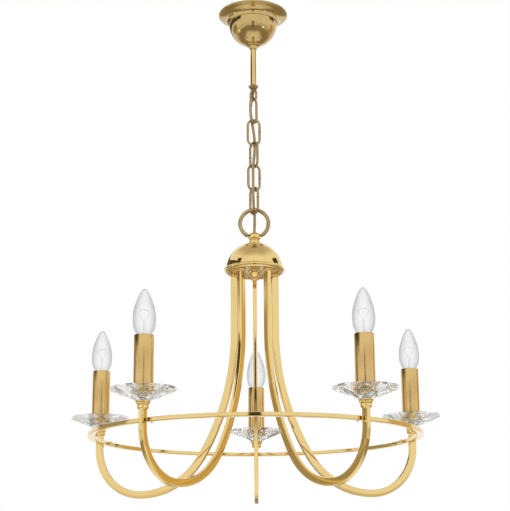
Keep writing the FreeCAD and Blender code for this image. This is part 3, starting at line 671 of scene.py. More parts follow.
def smooth_line(points: Sequence[Point2], steps: int = 6) -> list[Point2]:
    """A smooth line through points.

    Args:
        points: what it goes through.
        steps: spans between two points.

    Returns:
        The points of the line.
    """
    p = [Vector(q) for q in points]
    p = [2 * p[0] - p[1]] + p + [2 * p[-1] - p[-2]]
    made = []
    for a, b, c, d in zip(p, p[1:], p[2:], p[3:]):
        for s in range(steps):
            t = s / steps
            made.append(0.5 * ((2 * b) + (c - a) * t + (2 * a - 5 * b + 4 * c - d) * t * t
                               + (3 * b - a - 3 * c + d) * t ** 3))
    made.append(p[-2])
    return [(q.x, q.y) for q in made]


def lathe_mesh(outline: Sequence[Point2], segments: int, place: Matrix | None = None) -> Mesh:
    """Turns a closed outline about Z.

    Args:
        outline: radius and height of each point, in order round the section.
        segments: how many steps go round.
        place: where the turned piece goes, in millimetres.

    Returns:
        Vertices and faces.
    """
    place = place or Matrix.Identity(4)
    vertices, rings = [], []
    for r, z in outline:
        if r < TINY:
            rings.append([len(vertices)] * segments)
            vertices.append(place @ Vector((0, 0, z)))
            continue
        rings.append(list(range(len(vertices), len(vertices) + segments)))
        for s in range(segments):
            a = 2 * math.pi * s / segments
            vertices.append(place @ Vector((r * math.cos(a), r * math.sin(a), z)))
    faces = []
    for k in range(len(rings)):
        here, there = rings[k], rings[(k + 1) % len(rings)]
        for s in range(segments):
            n = (s + 1) % segments
            face = []
            for v in (here[s], here[n], there[n], there[s]):
                if v not in face:
                    face.append(v)
            if len(face) > 2:
                faces.append(face)
    return vertices, faces


def join_meshes(parts: Sequence[Mesh]) -> Mesh:
    """Puts several meshes into one.

    Args:
        parts: pairs of vertices and faces.

    Returns:
        Vertices and faces.
    """
    vertices, faces = [], []
    for some, their_faces in parts:
        base = len(vertices)
        vertices += list(some)
        faces += [[v + base for v in f] for f in their_faces]
    return vertices, faces


def sweep_mesh(stations: Sequence[Station], section: Sequence[Point2], closed: bool = False,
               scale: Sequence[float] | None = None) -> Mesh:
    """Sweeps a section along stations.

    Args:
        stations: position and the two directions of the section's plane at each.
        section: the section's points, in order.
        closed: whether the sweep joins its own start.
        scale: the section's scale at each station.

    Returns:
        Vertices and faces.
    """
    count, size = len(section), len(stations)
    vertices = []
    for k, (at, across, up) in enumerate(stations):
        s = scale[k] if scale else 1.0
        vertices += [at + across * (u * s) + up * (v * s) for u, v in section]
    faces = []
    for k in range(size if closed else size - 1):
        a, b = k * count, ((k + 1) % size) * count
        faces += [[a + s, a + (s + 1) % count, b + (s + 1) % count, b + s] for s in range(count)]
    if not closed:
        faces += [list(range(count)), list(range((size - 1) * count, size * count))]
    return vertices, faces


def circle(radius: float, count: int = 24) -> list[Point2]:
    """A round section of that radius."""
    return arc2((0, 0), radius, 0, 360 - 360 / count, count - 1)


def line_stations(points: Sequence[Vector]) -> list[Station]:
    """Stations along a line in space, with as little twist as can be.

    Args:
        points: the line's points.

    Returns:
        Position and two directions at each.
    """
    tangents = [(b - a).normalized() for a, b in zip(points, points[1:]) if (b - a).length > 0]
    tangents = [tangents[0]] + [(a + b).normalized() for a, b in zip(tangents, tangents[1:])] + [tangents[-1]]
    tangents = tangents[:len(points)]
    across = tangents[0].orthogonal().normalized()
    made = []
    for at, along in zip(points, tangents):
        across = (across - along * across.dot(along)).normalized()
        made.append((at, across, along.cross(across)))
    return made


def oval_line(arc: float, half: float) -> list[Vector]:
    """The line of a bent oval, about the origin, in the XZ plane.

    Args:
        arc: radius of its ends.
        half: half the length of its straight sides.

    Returns:
        Its points, once round.
    """
    points = [(x, z + half) for x, z in arc2((0, 0), arc, 0, 180, 22)]
    points += [(-arc, half - half * k / 6) for k in range(1, 12)]
    points += [(x, z - half) for x, z in arc2((0, 0), arc, 180, 360, 22)]
    points += [(arc, -half + half * k / 6) for k in range(1, 12)]
    return [Vector((x, 0, z)) for x, z in points]


def oval_stations(line: Sequence[Vector], place: Matrix) -> list[Station]:
    """The sweep stations of a closed line that lies in the XZ plane.

    Args:
        line: its points, once round.
        place: where it goes.

    Returns:
        Position, across and depth vectors at each point.
    """
    made = []
    for k, at in enumerate(line):
        along = (line[(k + 1) % len(line)] - line[k - 1]).normalized()
        made.append((place @ at, place.to_3x3() @ along.cross(Vector((0, 1, 0))),
                     place.to_3x3() @ Vector((0, 1, 0))))
    return made


def five_turned(outline: Sequence[Point2], segments: int, radius: float) -> Mesh:
    """Turns the same piece at the five arms.

    Args:
        outline: radius and height of each point of its section.
        segments: how many steps go round.
        radius: how far each stands from the chandelier's axis.

    Returns:
        Vertices and faces of all five.
    """
    return join_meshes([lathe_mesh(outline, segments, arm_place(index) @ Matrix.Translation((radius, 0, 0)))
                        for index in range(ARM_COUNT)])


def turn_z(degrees: float) -> Matrix:
    """A turn about Z."""
    return Matrix.Rotation(math.radians(degrees), 4, "Z")


def arm_place(index: int) -> Matrix:
    """Where arm number index is: the first lies along +Y."""
    return turn_z(FIRST_ARM + ARM_STEP * index)


# ---- the canopy and the stem ---------------------------------------------------------------------------


@dataclass
class Canopy:
    """The spun canopy under the ceiling and its sliding collar."""

    # Flange, cup and collar all take the canopy brass with painted shade.
    rim: float = 60.5
    bead: float = 2.3
    seam: float = -18.0
    cup: float = 42.0
    sheet: float = 1.2
    bore: float = 5.06
    collar_foot: float = -67.0
    body: str = "canopy"

    def flange(self) -> None:
        """Spins the flange: a bell that rises from the seam to the rolled rim."""
        edge = self.rim - self.bead
        outer = smooth_line([(edge, -2 * self.bead), (50.6, -7.4), (45.4, -11.8),
                             (self.cup + self.sheet, self.seam)], 9)
        inner = smooth_line([(self.cup, self.seam), (44.4, -11.0), (50.0, -6.1),
                             (edge - 0.4, self.sheet - 2 * self.bead)], 9)
        roll = arc2((edge, -self.bead), self.bead, 90, -90, 14)
        outline = roll[:-1] + outer + inner + [(edge - 0.4, 0.0)]
        add_piece("canopy_flange_spun", *lathe_mesh(outline, 160), Slot.POLISHED, self.body, "canopy_flange",
                  finish=CANOPY_SHADED_BRASS)

    def half_round(self) -> None:
        """Spins the cup."""
        inner = self.cup - self.sheet
        low = math.degrees(math.acos(self.bore / self.cup))
        low_in = math.degrees(math.acos(self.bore / inner))
        outline = ([(self.cup, self.seam + 2.0)] + arc2((0, self.seam), self.cup, 0, -low, 44)
                   + arc2((0, self.seam), inner, -low_in, 0, 44) + [(inner, self.seam + 2.0)])
        add_piece("canopy_cup_spun", *lathe_mesh(outline, 160), Slot.POLISHED, self.body, "canopy_cup",
                  finish=CANOPY_SHADED_BRASS)

    def collar(self) -> None:
        """Turns the collar with its washer, that is fixed to the stem by a grub screw."""
        top = self.seam - self.cup + 2.5
        outline = rounded([(self.bore, top), (10.6, top), (12.4, top - 1.4), (11.6, top - 3.2),
                           (7.6, top - 3.7), (7.0, top - 5.6), (6.3, self.collar_foot + 0.2),
                           (5.9, self.collar_foot), (self.bore, self.collar_foot)], 0.5)
        add_piece("canopy_collar_turned", *lathe_mesh(outline, 96), Slot.POLISHED, self.body, "canopy_collar",
                  finish=CANOPY_SHADED_BRASS)

    def build(self) -> None:
        """Makes the canopy's pieces."""
        self.flange()
        self.half_round()
        self.collar()
        LOG.info("canopy: flange, cup and collar")


@dataclass
class Stem:
    """The stem tube, its turned collar and the eye that the chain hangs in."""

    top: float = -20.0
    foot: float = -136.0
    radius: float = 5.0
    bore: float = 4.0
    collar_top: float = -134.0
    collar_foot: float = -142.0
    collar: float = 8.65
    eye_wire: float = 2.0
    eye_arc: float = 5.75
    eye_straight: float = 6.5
    eye_low: float = -162.0
    eye_angle: float = -30.0
    body: str = "ceiling_fixing"

    def tube(self) -> None:
        """Draws the tube."""
        outline = rounded([(self.bore, self.foot), (self.radius, self.foot), (self.radius, self.top),
                           (self.bore, self.top)], 0.3)
        add_piece("stem_tube_drawn", *lathe_mesh(outline, 64), Slot.STEM, self.body, "stem_tube")

    def neck(self) -> None:
        """Turns the beaded collar at the tube's foot."""
        top, foot, r = self.collar_top, self.collar_foot, self.collar
        bead = arc2((r - 1.8, top - 3.3), 1.8, 62, -62, 8)
        outline = ([(0, top), (5.6, top), (6.3, top - 0.5)] + bead
                   + [(6.2, top - 5.6), (5.9, top - 6.4), (6.3, top - 7.0), (5.6, foot), (0, foot)])
        add_piece("stem_collar_turned", *lathe_mesh(outline, 64), Slot.CHAIN, self.body, "stem_collar")

    def eye(self) -> None:
        """Bends the eye."""
        half = self.eye_straight / 2
        centre = self.eye_low + self.eye_arc + half
        place = Matrix.Translation((0, 0, centre)) @ turn_z(self.eye_angle)
        ring = sweep_mesh(oval_stations(oval_line(self.eye_arc, half), place), circle(self.eye_wire),
                          closed=True)
        shank_foot = centre + half + self.eye_arc - 1.2
        shank = lathe_mesh(rounded([(0, self.collar_foot + 0.4), (3.8, self.collar_foot + 0.4),
                                    (3.8, shank_foot + 1.4), (2.6, shank_foot), (0, shank_foot)], 0.4), 40)
        add_piece("stem_eye_bent", *join_meshes([ring, shank]), Slot.CHAIN, self.body, "stem_eye")

    def build(self) -> None:
        """Makes the stem's pieces."""
        self.tube()
        self.neck()
        self.eye()
        LOG.info("stem: tube, collar and eye")


# ---- chain, ring and flex --------------------------------------------------------------------------------


@dataclass
class Chain:
    """Five welded oval links."""

    centres: tuple[float, ...] = (-180.4, -221.5, -262.6, -303.7, -344.8)
    angles: tuple[float, ...] = (60.0, 2.0, -52.0, 18.0, -50.0)
    welds: tuple[Point2, ...] = ((-1, 4.0), (1, 1.0), (-1, -3.0), (1, -1.5), (1, 4.0))
    length: float = 49.8
    width: float = 24.4
    wire: float = 2.1

    def link(self, index: int) -> None:
        """Bends and welds one link.

        Args:
            index: the link's number from the top, from 0.
        """
        place = Matrix.Translation((0, 0, self.centres[index])) @ turn_z(self.angles[index])
        line = oval_line(self.width / 2 - self.wire, self.length / 2 - self.width / 2)
        stations = oval_stations(line, place)
        side, height = self.welds[index]
        weld_at = Vector((side * (self.width / 2 - self.wire), 0, height))
        swell = [1.0 + 0.1 * math.exp(-((at - weld_at).length / 1.6) ** 2) for at in line]
        name = f"chain_link_{index + 1}"
        add_piece(f"{name}_wire", *sweep_mesh(stations, circle(self.wire), True, swell), Slot.CHAIN,
                          f"link_{index + 1}", name)
        scar = rounded([(self.wire * 0.9, -0.75), (self.wire * 1.13, -0.55), (self.wire * 1.16, 0.0),
                        (self.wire * 1.13, 0.55), (self.wire * 0.9, 0.75)], 0.2)
        add_piece(f"link_weld_{index + 1}", *lathe_mesh(scar, 28, place @ Matrix.Translation(weld_at)),
                  Slot.CHAIN, f"link_{index + 1}", finish=WELD)

    def build(self) -> None:
        """Makes the links."""
        for index in range(len(self.centres)):
            self.link(index)
        LOG.info("chain: %d links", len(self.centres))


@dataclass
class SuspensionRing:
    """The big ring and its two pins."""

    radius: float = 24.0
    wire: float = 3.3
    centre: float = -385.2
    pin_height: float = PIN_HEIGHT
    pin_start: float = 11.0
    pin: float = 2.0

    def build(self) -> None:
        """Bends the ring round from pin to pin."""
        gap = math.degrees(math.asin(self.pin_start / self.radius))
        stations = []
        for k in range(97):
            a = math.radians(-90 + gap + (360 - 2 * gap) * k / 96)
            out = Vector((math.cos(a), 0, math.sin(a)))
            stations.append((out * self.radius + Vector((0, 0, self.centre)), out, Vector((0, 1, 0))))
        wire = sweep_mesh(stations, circle(self.wire, 28))
        pins = []
        for side in (-1, 1):
            place = Matrix.Translation((0, 0, self.pin_height)) @ Matrix.Rotation(side * math.pi / 2, 4, "Y")
            outline = rounded([(0, 6.0), (self.pin, 6.0), (self.pin, self.pin_start + 1.5),
                               (0, self.pin_start + 1.5)],
                              0.3)
            pins.append(lathe_mesh(outline, 28, place))
        add_piece("suspension_ring_bent", *join_meshes([wire] + pins), Slot.CHAIN, "ring", "suspension_ring")
        LOG.info("ring: bent wire with two pins")


@dataclass
class Flex:
    """The flex that is woven down the chain, in one length for each hanging part."""

    radius: float = 2.4
    closest: float = 1e-4
    route: tuple[Point3, ...] = (
        (0, 0, -22), (0, 0, -131), (-0.2, 6.9, -146), (-2.9, 7.3, -158), (-5.2, 6.0, -170), (-5.4, 4.4, -182),
        (-3.9, 4.3, -194), (-2.2, 5.2, -206), (-0.3, 6.0, -218), (1.0, 6.5, -230), (1.5, 6.0, -242),
        (1.3, 3.5, -254), (0.6, -0.6, -266), (-0.9, -5.0, -278), (-1.6, -7.2, -290), (-1.3, -7.0, -302),
        (-1.4, -6.7, -314), (-1.5, -5.9, -326), (-1.6, -2.8, -338), (-1.1, 2.3, -350), (0.1, 6.9, -362),
        (0.7, 7.7, -374), (0.6, 4.9, -386), (0, 1.0, -398), (0, 0, -409), (0, 0, -440))
    cuts: tuple[float, ...] = (-162.0, -203.2, -244.3, -285.4, -326.5, -367.6, PIN_HEIGHT)

    def line(self) -> list[Vector]:
        """The flex's smooth line, read from a spline through the route.

        Returns:
            Its points from the top down, in millimetres.
        """
        curve = bpy.data.curves.new("flex_route", "CURVE")
        curve.dimensions, curve.resolution_u = "3D", 12
        spline = curve.splines.new("NURBS")
        spline.points.add(len(self.route) - 1)
        for point, at in zip(spline.points, self.route):
            point.co = (*at, 1.0)
        spline.order_u = 3
        spline.use_endpoint_u = True
        holder = bpy.data.objects.new("flex_route", curve)
        bpy.context.scene.collection.objects.link(holder)
        mesh = bpy.data.meshes.new_from_object(holder)
        points = [v.co.copy() for v in mesh.vertices]
        bpy.data.objects.remove(holder)
        bpy.data.meshes.remove(mesh)
        bpy.data.curves.remove(curve)
        return points if points[0].z > points[-1].z else points[::-1]

    def between(self, line: Sequence[Vector], top: float, low: float) -> list[Vector]:
        """The part of the line between two heights, cut cleanly at both.

        Args:
            line: the flex's points from the top down.
            top: the upper height.
            low: the lower height.

        Returns:
            Its points from the top down.
        """
        inside = []
        for a, b in zip(line, line[1:]):
            crossed = [a.lerp(b, (a.z - edge) / (a.z - b.z)) for edge in (top, low) if a.z > edge > b.z]
            for at in ([a] if low <= a.z <= top else []) + crossed:
                if not inside or (inside[-1] - at).length > self.closest:
                    inside.append(at)
        return sorted(inside, key=lambda at: -at.z)

    def build(self) -> None:
        """Makes each length with its sheath."""
        names = ["flex_stem"] + [f"flex_link_{k}" for k in range(1, 6)] + ["flex_ring"]
        bodies = ["ceiling_fixing"] + [f"link_{k}" for k in range(1, 6)] + ["ring"]
        line = self.line()
        top = line[0].z
        for name, body, low in zip(names, bodies, self.cuts):
            stations = line_stations(self.between(line, top, low))
            add_piece(f"{name}_sheath", *sweep_mesh(stations, circle(self.radius, 20)), Slot.SHEATH, body,
                      None if name == "flex_stem" else name)
            top = low
        LOG.info("flex: %d lengths", len(names))


# ---- the crown --------------------------------------------------------------------------------------------


@dataclass
class Crown:
    """Boss, dome, finial and ferrules at the head of the arms."""

    pin_height: float = PIN_HEIGHT
    boss: float = 10.7
    dome: float = 47.0
    dome_height: float = 45.5
    base: float = -465.0
    rim: float = 51.2
    sheet: float = 1.2
    thread: float = 5.0
    plate_low: float = -463.0
    tip: float = -484.5
    arm_top: float = -475.5
    arm_radius: float = 35.5
    stud: float = 4.0
    body: str = "crown"

    def boss_piece(self) -> None:
        """Turns the boss that the ring's pins enter."""
        top, widest = self.pin_height + 5.2, self.pin_height - 1.5
        foot = self.base + self.dome_height - 2.0
        side = smooth_line([(3.2, top), (6.6, top - 0.7), (8.9, top - 2.6), (10.3, top - 4.8),
                            (self.boss, widest), (10.5, widest - 2.6), (9.8, widest - 4.6),
                            (8.4, widest - 6.6), (7.7, widest - 7.6)], 5)
        outline = [(0, top + 0.1)] + side + rounded(
            [(7.7, widest - 7.6), (8.7, widest - 8.3), (8.9, widest - 9.4), (8.2, foot)], 0.3,
            closed=False)[1:]
        add_piece("ring_boss_turned", *lathe_mesh(outline + [(0, foot)], 96), Slot.POLISHED, self.body,
                  "ring_boss")

    def dome_piece(self) -> None:
        """Spins the dome with its beaded rim."""
        inner, inner_height = self.dome - self.sheet, self.dome_height - self.sheet
        crest = math.degrees(math.acos(self.thread / self.dome))
        crest_in = math.degrees(math.acos(self.thread / inner))
        low = self.base - 6.4
        bead = smooth_line([(self.dome, self.base), (self.dome + 0.7, self.base + 1.3),
                            (self.dome + 2.0, self.base + 1.3), (self.rim - 0.7, self.base + 0.2),
                            (self.rim, self.base - 2.0), (self.rim - 0.9, self.base - 4.2),
                            (self.dome + 1.8, self.base - 5.9), (self.dome + 0.4, low)], 4)
        outline = (arc2((0, self.base), (self.dome, self.dome_height), crest, 0.4, 56) + bead
                   + [(inner, low), (inner, self.base)]
                   + arc2((0, self.base), (inner, inner_height), 0.4, crest_in, 40))
        add_piece("crown_dome_spun", *lathe_mesh(outline, 192), Slot.POLISHED, self.body, "crown_dome",
                  sharp=40)
        # A thin lip inside the skirt, in the pale brass with a painted highlight, lightens the skirt's inner
        # face.
        edge = inner - 0.1
        lip = rounded([(edge - 0.5, low + 0.2), (edge, low + 0.2), (edge, self.plate_low - 0.1),
                       (edge - 0.5, self.plate_low - 0.1)], 0.15)
        add_piece("crown_dome_highlight_lip", *lathe_mesh(lip, 128), Slot.POLISHED, self.body, finish=PLATE_HIGHLIGHT_BRASS)

    def finial(self) -> None:
        """Turns the finial under the plate."""
        top = self.plate_low
        side = smooth_line([(7.6, top - 1.6), (9.9, top - 2.7), (11.4, top - 4.6), (11.5, top - 7.0),
                            (10.6, top - 9.4), (9.2, top - 11.2), (7.2, top - 13.6), (5.2, top - 15.4),
                            (4.2, top - 16.2)], 5)
        tip = smooth_line([(4.2, top - 16.2), (4.75, top - 17.2), (4.9, top - 18.3), (4.2, top - 20.0),
                           (2.7, top - 21.1), (0.9, self.tip + 0.03)], 5)
        outline = [(0, top), (7.6, top)] + side + tip[1:] + [(0, self.tip)]
        add_piece("crown_finial_turned", *lathe_mesh(outline, 80), Slot.POLISHED, self.body, "crown_finial")

    def ferrules(self) -> None:
        """Turns the five collars between the plate and the arms."""
        top, low = self.plate_low, self.arm_top
        outline = [(self.stud, top), (6.4, top)] + arc2((6.1, top - 2.1), (1.25, 1.7), 80, -80, 8)
        outline += [(6.5, top - 4.4), (6.5, low + 3.3)] + arc2((6.2, low + 1.5), (1.15, 1.3), 80, -80, 8)
        outline += [(6.3, low), (self.stud, low)]
        add_piece("arm_ferrules_turned", *five_turned(outline, 48, self.arm_radius), Slot.POLISHED, self.body,
                  "arm_ferrules")

    def build(self) -> None:
        """Makes the crown's pieces."""
        self.boss_piece()
        self.dome_piece()
        self.finial()
        self.ferrules()
        LOG.info("crown: boss, dome, finial and ferrules")


@dataclass
class Arms:
    """Five bent rectangular tubes from the crown down and out to the candles."""

    top: float = -475.5
    end: float = -731.4
    low: float = -832.0
    top_radius: float = 35.5
    candle_radius: float = CANDLE_RADIUS
    outer_arc: float = 77.5
    inner_arc: float = 125.0
    inner_turn: float = 58.0
    depth: float = 12.0
    width: float = 6.5
    edge: float = 0.75

    def line(self) -> list[tuple[Vector, Vector]]:
        """The centreline and its outward normal, as radius and height.

        Returns:
            Position and normal at each station, from the crown to the candle.
        """
        low_r = self.candle_radius - self.outer_arc
        turn = math.radians(self.inner_turn)
        join = (low_r - self.inner_arc * math.sin(turn), self.low + self.inner_arc * (1 - math.cos(turn)))
        rest = 90.0 - self.inner_turn
        long_arc = (join[0] - self.top_radius) / (1 - math.cos(math.radians(rest)))
        start = join[1] + long_arc * math.sin(math.radians(rest))
        arcs = (((self.top_radius + long_arc, start), long_arc, 180.0, 180.0 + rest, 40),
                ((low_r, self.low + self.inner_arc), self.inner_arc, 180.0 + rest, 270.0, 44),
                ((low_r, self.low + self.outer_arc), self.outer_arc, 270.0, 360.0, 60))
        made = [(Vector((self.top_radius, self.top + (start - self.top) * k / 5)),
                 Vector((-1, 0))) for k in range(5)]
        for centre, radius, a, b, steps in arcs:
            for x, z in arc2(centre, radius, a, b, steps)[:-1]:
                made.append((Vector((x, z)), (Vector((x, z)) - Vector(centre)).normalized()))
        rise = self.low + self.outer_arc
        made += [(Vector((self.candle_radius, rise + (self.end - rise) * k / 2)),
                  Vector((1, 0))) for k in range(3)]
        return made

    def section(self) -> list[Point2]:
        """The tube's rounded rectangle."""
        d, w = self.depth / 2, self.width / 2
        return rounded([(-d, -w), (d, -w), (d, w), (-d, w)], self.edge, 4)

    def build(self) -> None:
        """Bends the arms."""
        line, section = self.line(), self.section()
        for index in range(ARM_COUNT):
            place = arm_place(index)
            turn = place.to_3x3()
            stations = [(place @ Vector((p.x, 0, p.y)), turn @ Vector((n.x, 0, n.y)),
                         turn @ Vector((0, 1, 0)))
                        for p, n in line]
            add_piece(f"arm_{index + 1}_bent", *sweep_mesh(stations, section), Slot.POLISHED, "crown",
                      f"arm_{index + 1}")
        LOG.info("arms: %d bent tubes", ARM_COUNT)


@dataclass
class GalleryHoop:
    """The flat hoop that joins the arms, and its cap nuts."""

    radius: float = 270.5
    depth: float = 12.0
    height: float = 6.0
    middle: float = -745.2
    nut: float = 3.8
    body: str = "crown"

    def hoop(self) -> None:
        """Rolls the hoop."""
        r, inner = self.radius, self.radius - self.depth
        low, high = self.middle - self.height / 2, self.middle + self.height / 2
        outline = rounded([(inner, low), (r, low), (r, high), (inner, high)], 0.7, 4)
        add_piece("gallery_hoop_rolled", *lathe_mesh(outline, 360), Slot.POLISHED, self.body, "gallery_hoop")

    def cap_nuts(self) -> None:
        """Forms the domed nuts on the inner face."""
        parts = []
        for index in range(ARM_COUNT):
            at = Matrix.Translation((self.radius - self.depth - 0.05, 0, self.middle))
            place = arm_place(index) @ at @ Matrix.Rotation(-math.pi / 2, 4, "Y")
            flats = [(0, 0), (self.nut * 0.96, 0.0), (self.nut * 1.02, 0.4), (self.nut * 1.02, 2.6),
                     (self.nut * 0.94, 3.0)]
            cap = arc2((0, 3.0), (self.nut * 0.86, 3.2), 8, 90, 8)
            parts.append(lathe_mesh(flats[:1] + rounded(flats[1:], 0.2, 2, False) + cap[:-1] + [(0, 6.2)], 24,
                                    place))
        add_piece("hoop_cap_nuts_formed", *join_meshes(parts), Slot.POLISHED, self.body, "hoop_cap_nuts")

    def build(self) -> None:
        """Makes the hoop and its nuts."""
        self.hoop()
        self.cap_nuts()
        LOG.info("gallery hoop and cap nuts")


# ---- the candles ------------------------------------------------------------------------------------------


@dataclass
class CandleFittings:
    """Nut, cup and sleeve at each arm's end."""

    radius: float = CANDLE_RADIUS
    nut_low: float = -731.4
    cup_low: float = -724.0
    cup_top: float = -719.0
    thread: float = 5.0
    sleeve: float = 15.0
    sleeve_low: float = -707.5
    sleeve_top: float = -621.5
    wall: float = 0.9
    body: str = "crown"

    def sleeves(self) -> None:
        """Draws the sleeves, each with its own axis so that its grain runs straight."""
        inner, r, top, low = self.sleeve - self.wall, self.sleeve, self.sleeve_top, self.sleeve_low
        outline = rounded([(inner, low), (r, low), (r, top), (inner, top)], 0.35, 3)
        for index in range(ARM_COUNT):
            at = arm_place(index) @ Vector((self.radius, 0, 0))
            place = Matrix.Translation(at)
            add_piece(f"candle_sleeve_{index + 1}", *lathe_mesh(outline, 96, place), Slot.BRUSHED,
                                  self.body, origin=at)
        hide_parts("candle_sleeves")

    def build(self) -> None:
        """Makes the fittings."""
        low, top = self.nut_low, self.cup_low
        nut = rounded([(self.thread, low), (6.6, low), (8.2, low + 1.2), (8.6, low + 2.0), (8.6, top - 1.3),
                       (7.7, top), (self.thread, top)], 0.35)
        add_piece("candle_nuts_turned", *five_turned(nut, 48, self.radius), Slot.POLISHED, self.body,
                  "candle_nuts")
        low, top = self.cup_low, self.cup_top
        cup = rounded([(self.thread, low), (9.2, low), (10.3, low + 0.9), (10.6, low + 2.6),
                       (11.2, top - 1.2), (11.2, top), (self.thread, top)], 0.35)
        add_piece("candle_cups_turned", *five_turned(cup, 64, self.radius), Slot.POLISHED, self.body,
                  "candle_cups")
        self.sleeves()
        LOG.info("candles: nuts, cups and sleeves")


@dataclass
class CrystalDishes:
    """The cut-crystal dish under each sleeve."""

    candle_radius: float = CANDLE_RADIUS
    radius: float = 49.0
    hub: float = 10.6
    hub_height: float = -719.0
    under_mid: float = 32.0
    upper_mid: float = 36.0
    top: float = -700.0
    edge: float = 3.5
    floor: float = 18.0
    floor_height: float = -707.5
    bore: float = 5.0
    facets: int = 16

    def ring(self, count: int, radius: float, height: float, phase: float = 0.0) -> list[Vector]:
        """A ring of corners.

        Args:
            count: how many.
            radius: their radius.
            height: their height.
            phase: turn in steps.

        Returns:
            The corners.
        """
        return [Vector((radius * math.cos(2 * math.pi * (k + phase) / count),
                        radius * math.sin(2 * math.pi * (k + phase) / count), height)) for k in range(count)]

    def dish(self) -> Mesh:
        """Cuts one dish about the origin.

        Returns:
            Its vertices and faces.
        """
        n = self.facets
        edge_low = self.top - self.edge
        flat = math.cos(math.pi / n)
        under_slope = (edge_low - self.hub_height) / (self.radius - self.hub)
        upper_slope = (self.top - self.floor_height) / (self.radius - self.floor)
        rings = {
            "hub": self.ring(n, self.hub, self.hub_height),
            "floor": self.ring(n, self.floor, self.floor_height),
            "under": self.ring(n, self.under_mid,
                               self.hub_height + (self.under_mid * flat - self.hub) * under_slope, 0.5),
            "upper": self.ring(n, self.upper_mid,
                               self.floor_height + (self.upper_mid * flat - self.floor) * upper_slope, 0.5),
            "low_edge": self.ring(2 * n, self.radius, edge_low),
            "top_edge": self.ring(2 * n, self.radius, self.top),
            "bore_low": self.ring(n, self.bore, self.hub_height),
            "bore_top": self.ring(n, self.bore, self.floor_height)}
        vertices, start = [], {}
        for name, corners in rings.items():
            start[name] = len(vertices)
            vertices += corners
        faces = []
        for inner, middle, edge in (("hub", "under", "low_edge"), ("floor", "upper", "top_edge")):
            i, m, e = start[inner], start[middle], start[edge]
            for k in range(n):
                after, before = (k + 1) % n, (k - 1) % n
                faces += [[i + k, m + before, e + 2 * k, m + k], [i + k, m + k, i + after],
                          [m + k, e + 2 * k, e + 2 * k + 1], [m + k, e + 2 * k + 1, e + 2 * after]]
        for k in range(2 * n):
            after = (k + 1) % (2 * n)
            faces.append([start["low_edge"] + k, start["low_edge"] + after, start["top_edge"] + after,
                          start["top_edge"] + k])
        for a, b in (("hub", "bore_low"), ("bore_low", "bore_top"), ("bore_top", "floor")):
            for k in range(n):
                after = (k + 1) % n
                faces.append([start[a] + k, start[a] + after, start[b] + after, start[b] + k])
        return vertices, faces

    def build(self) -> None:
        """Cuts the dishes."""
        vertices, faces = self.dish()
        for index in range(ARM_COUNT):
            place = arm_place(index) @ Matrix.Translation((self.candle_radius, 0, 0))
            add_piece(f"crystal_dish_{index + 1}_cut", [place @ v for v in vertices], faces,
                                  Slot.CRYSTAL, "crown", f"crystal_dish_{index + 1}", smooth=False)
        LOG.info("crystal: %d dishes", ARM_COUNT)


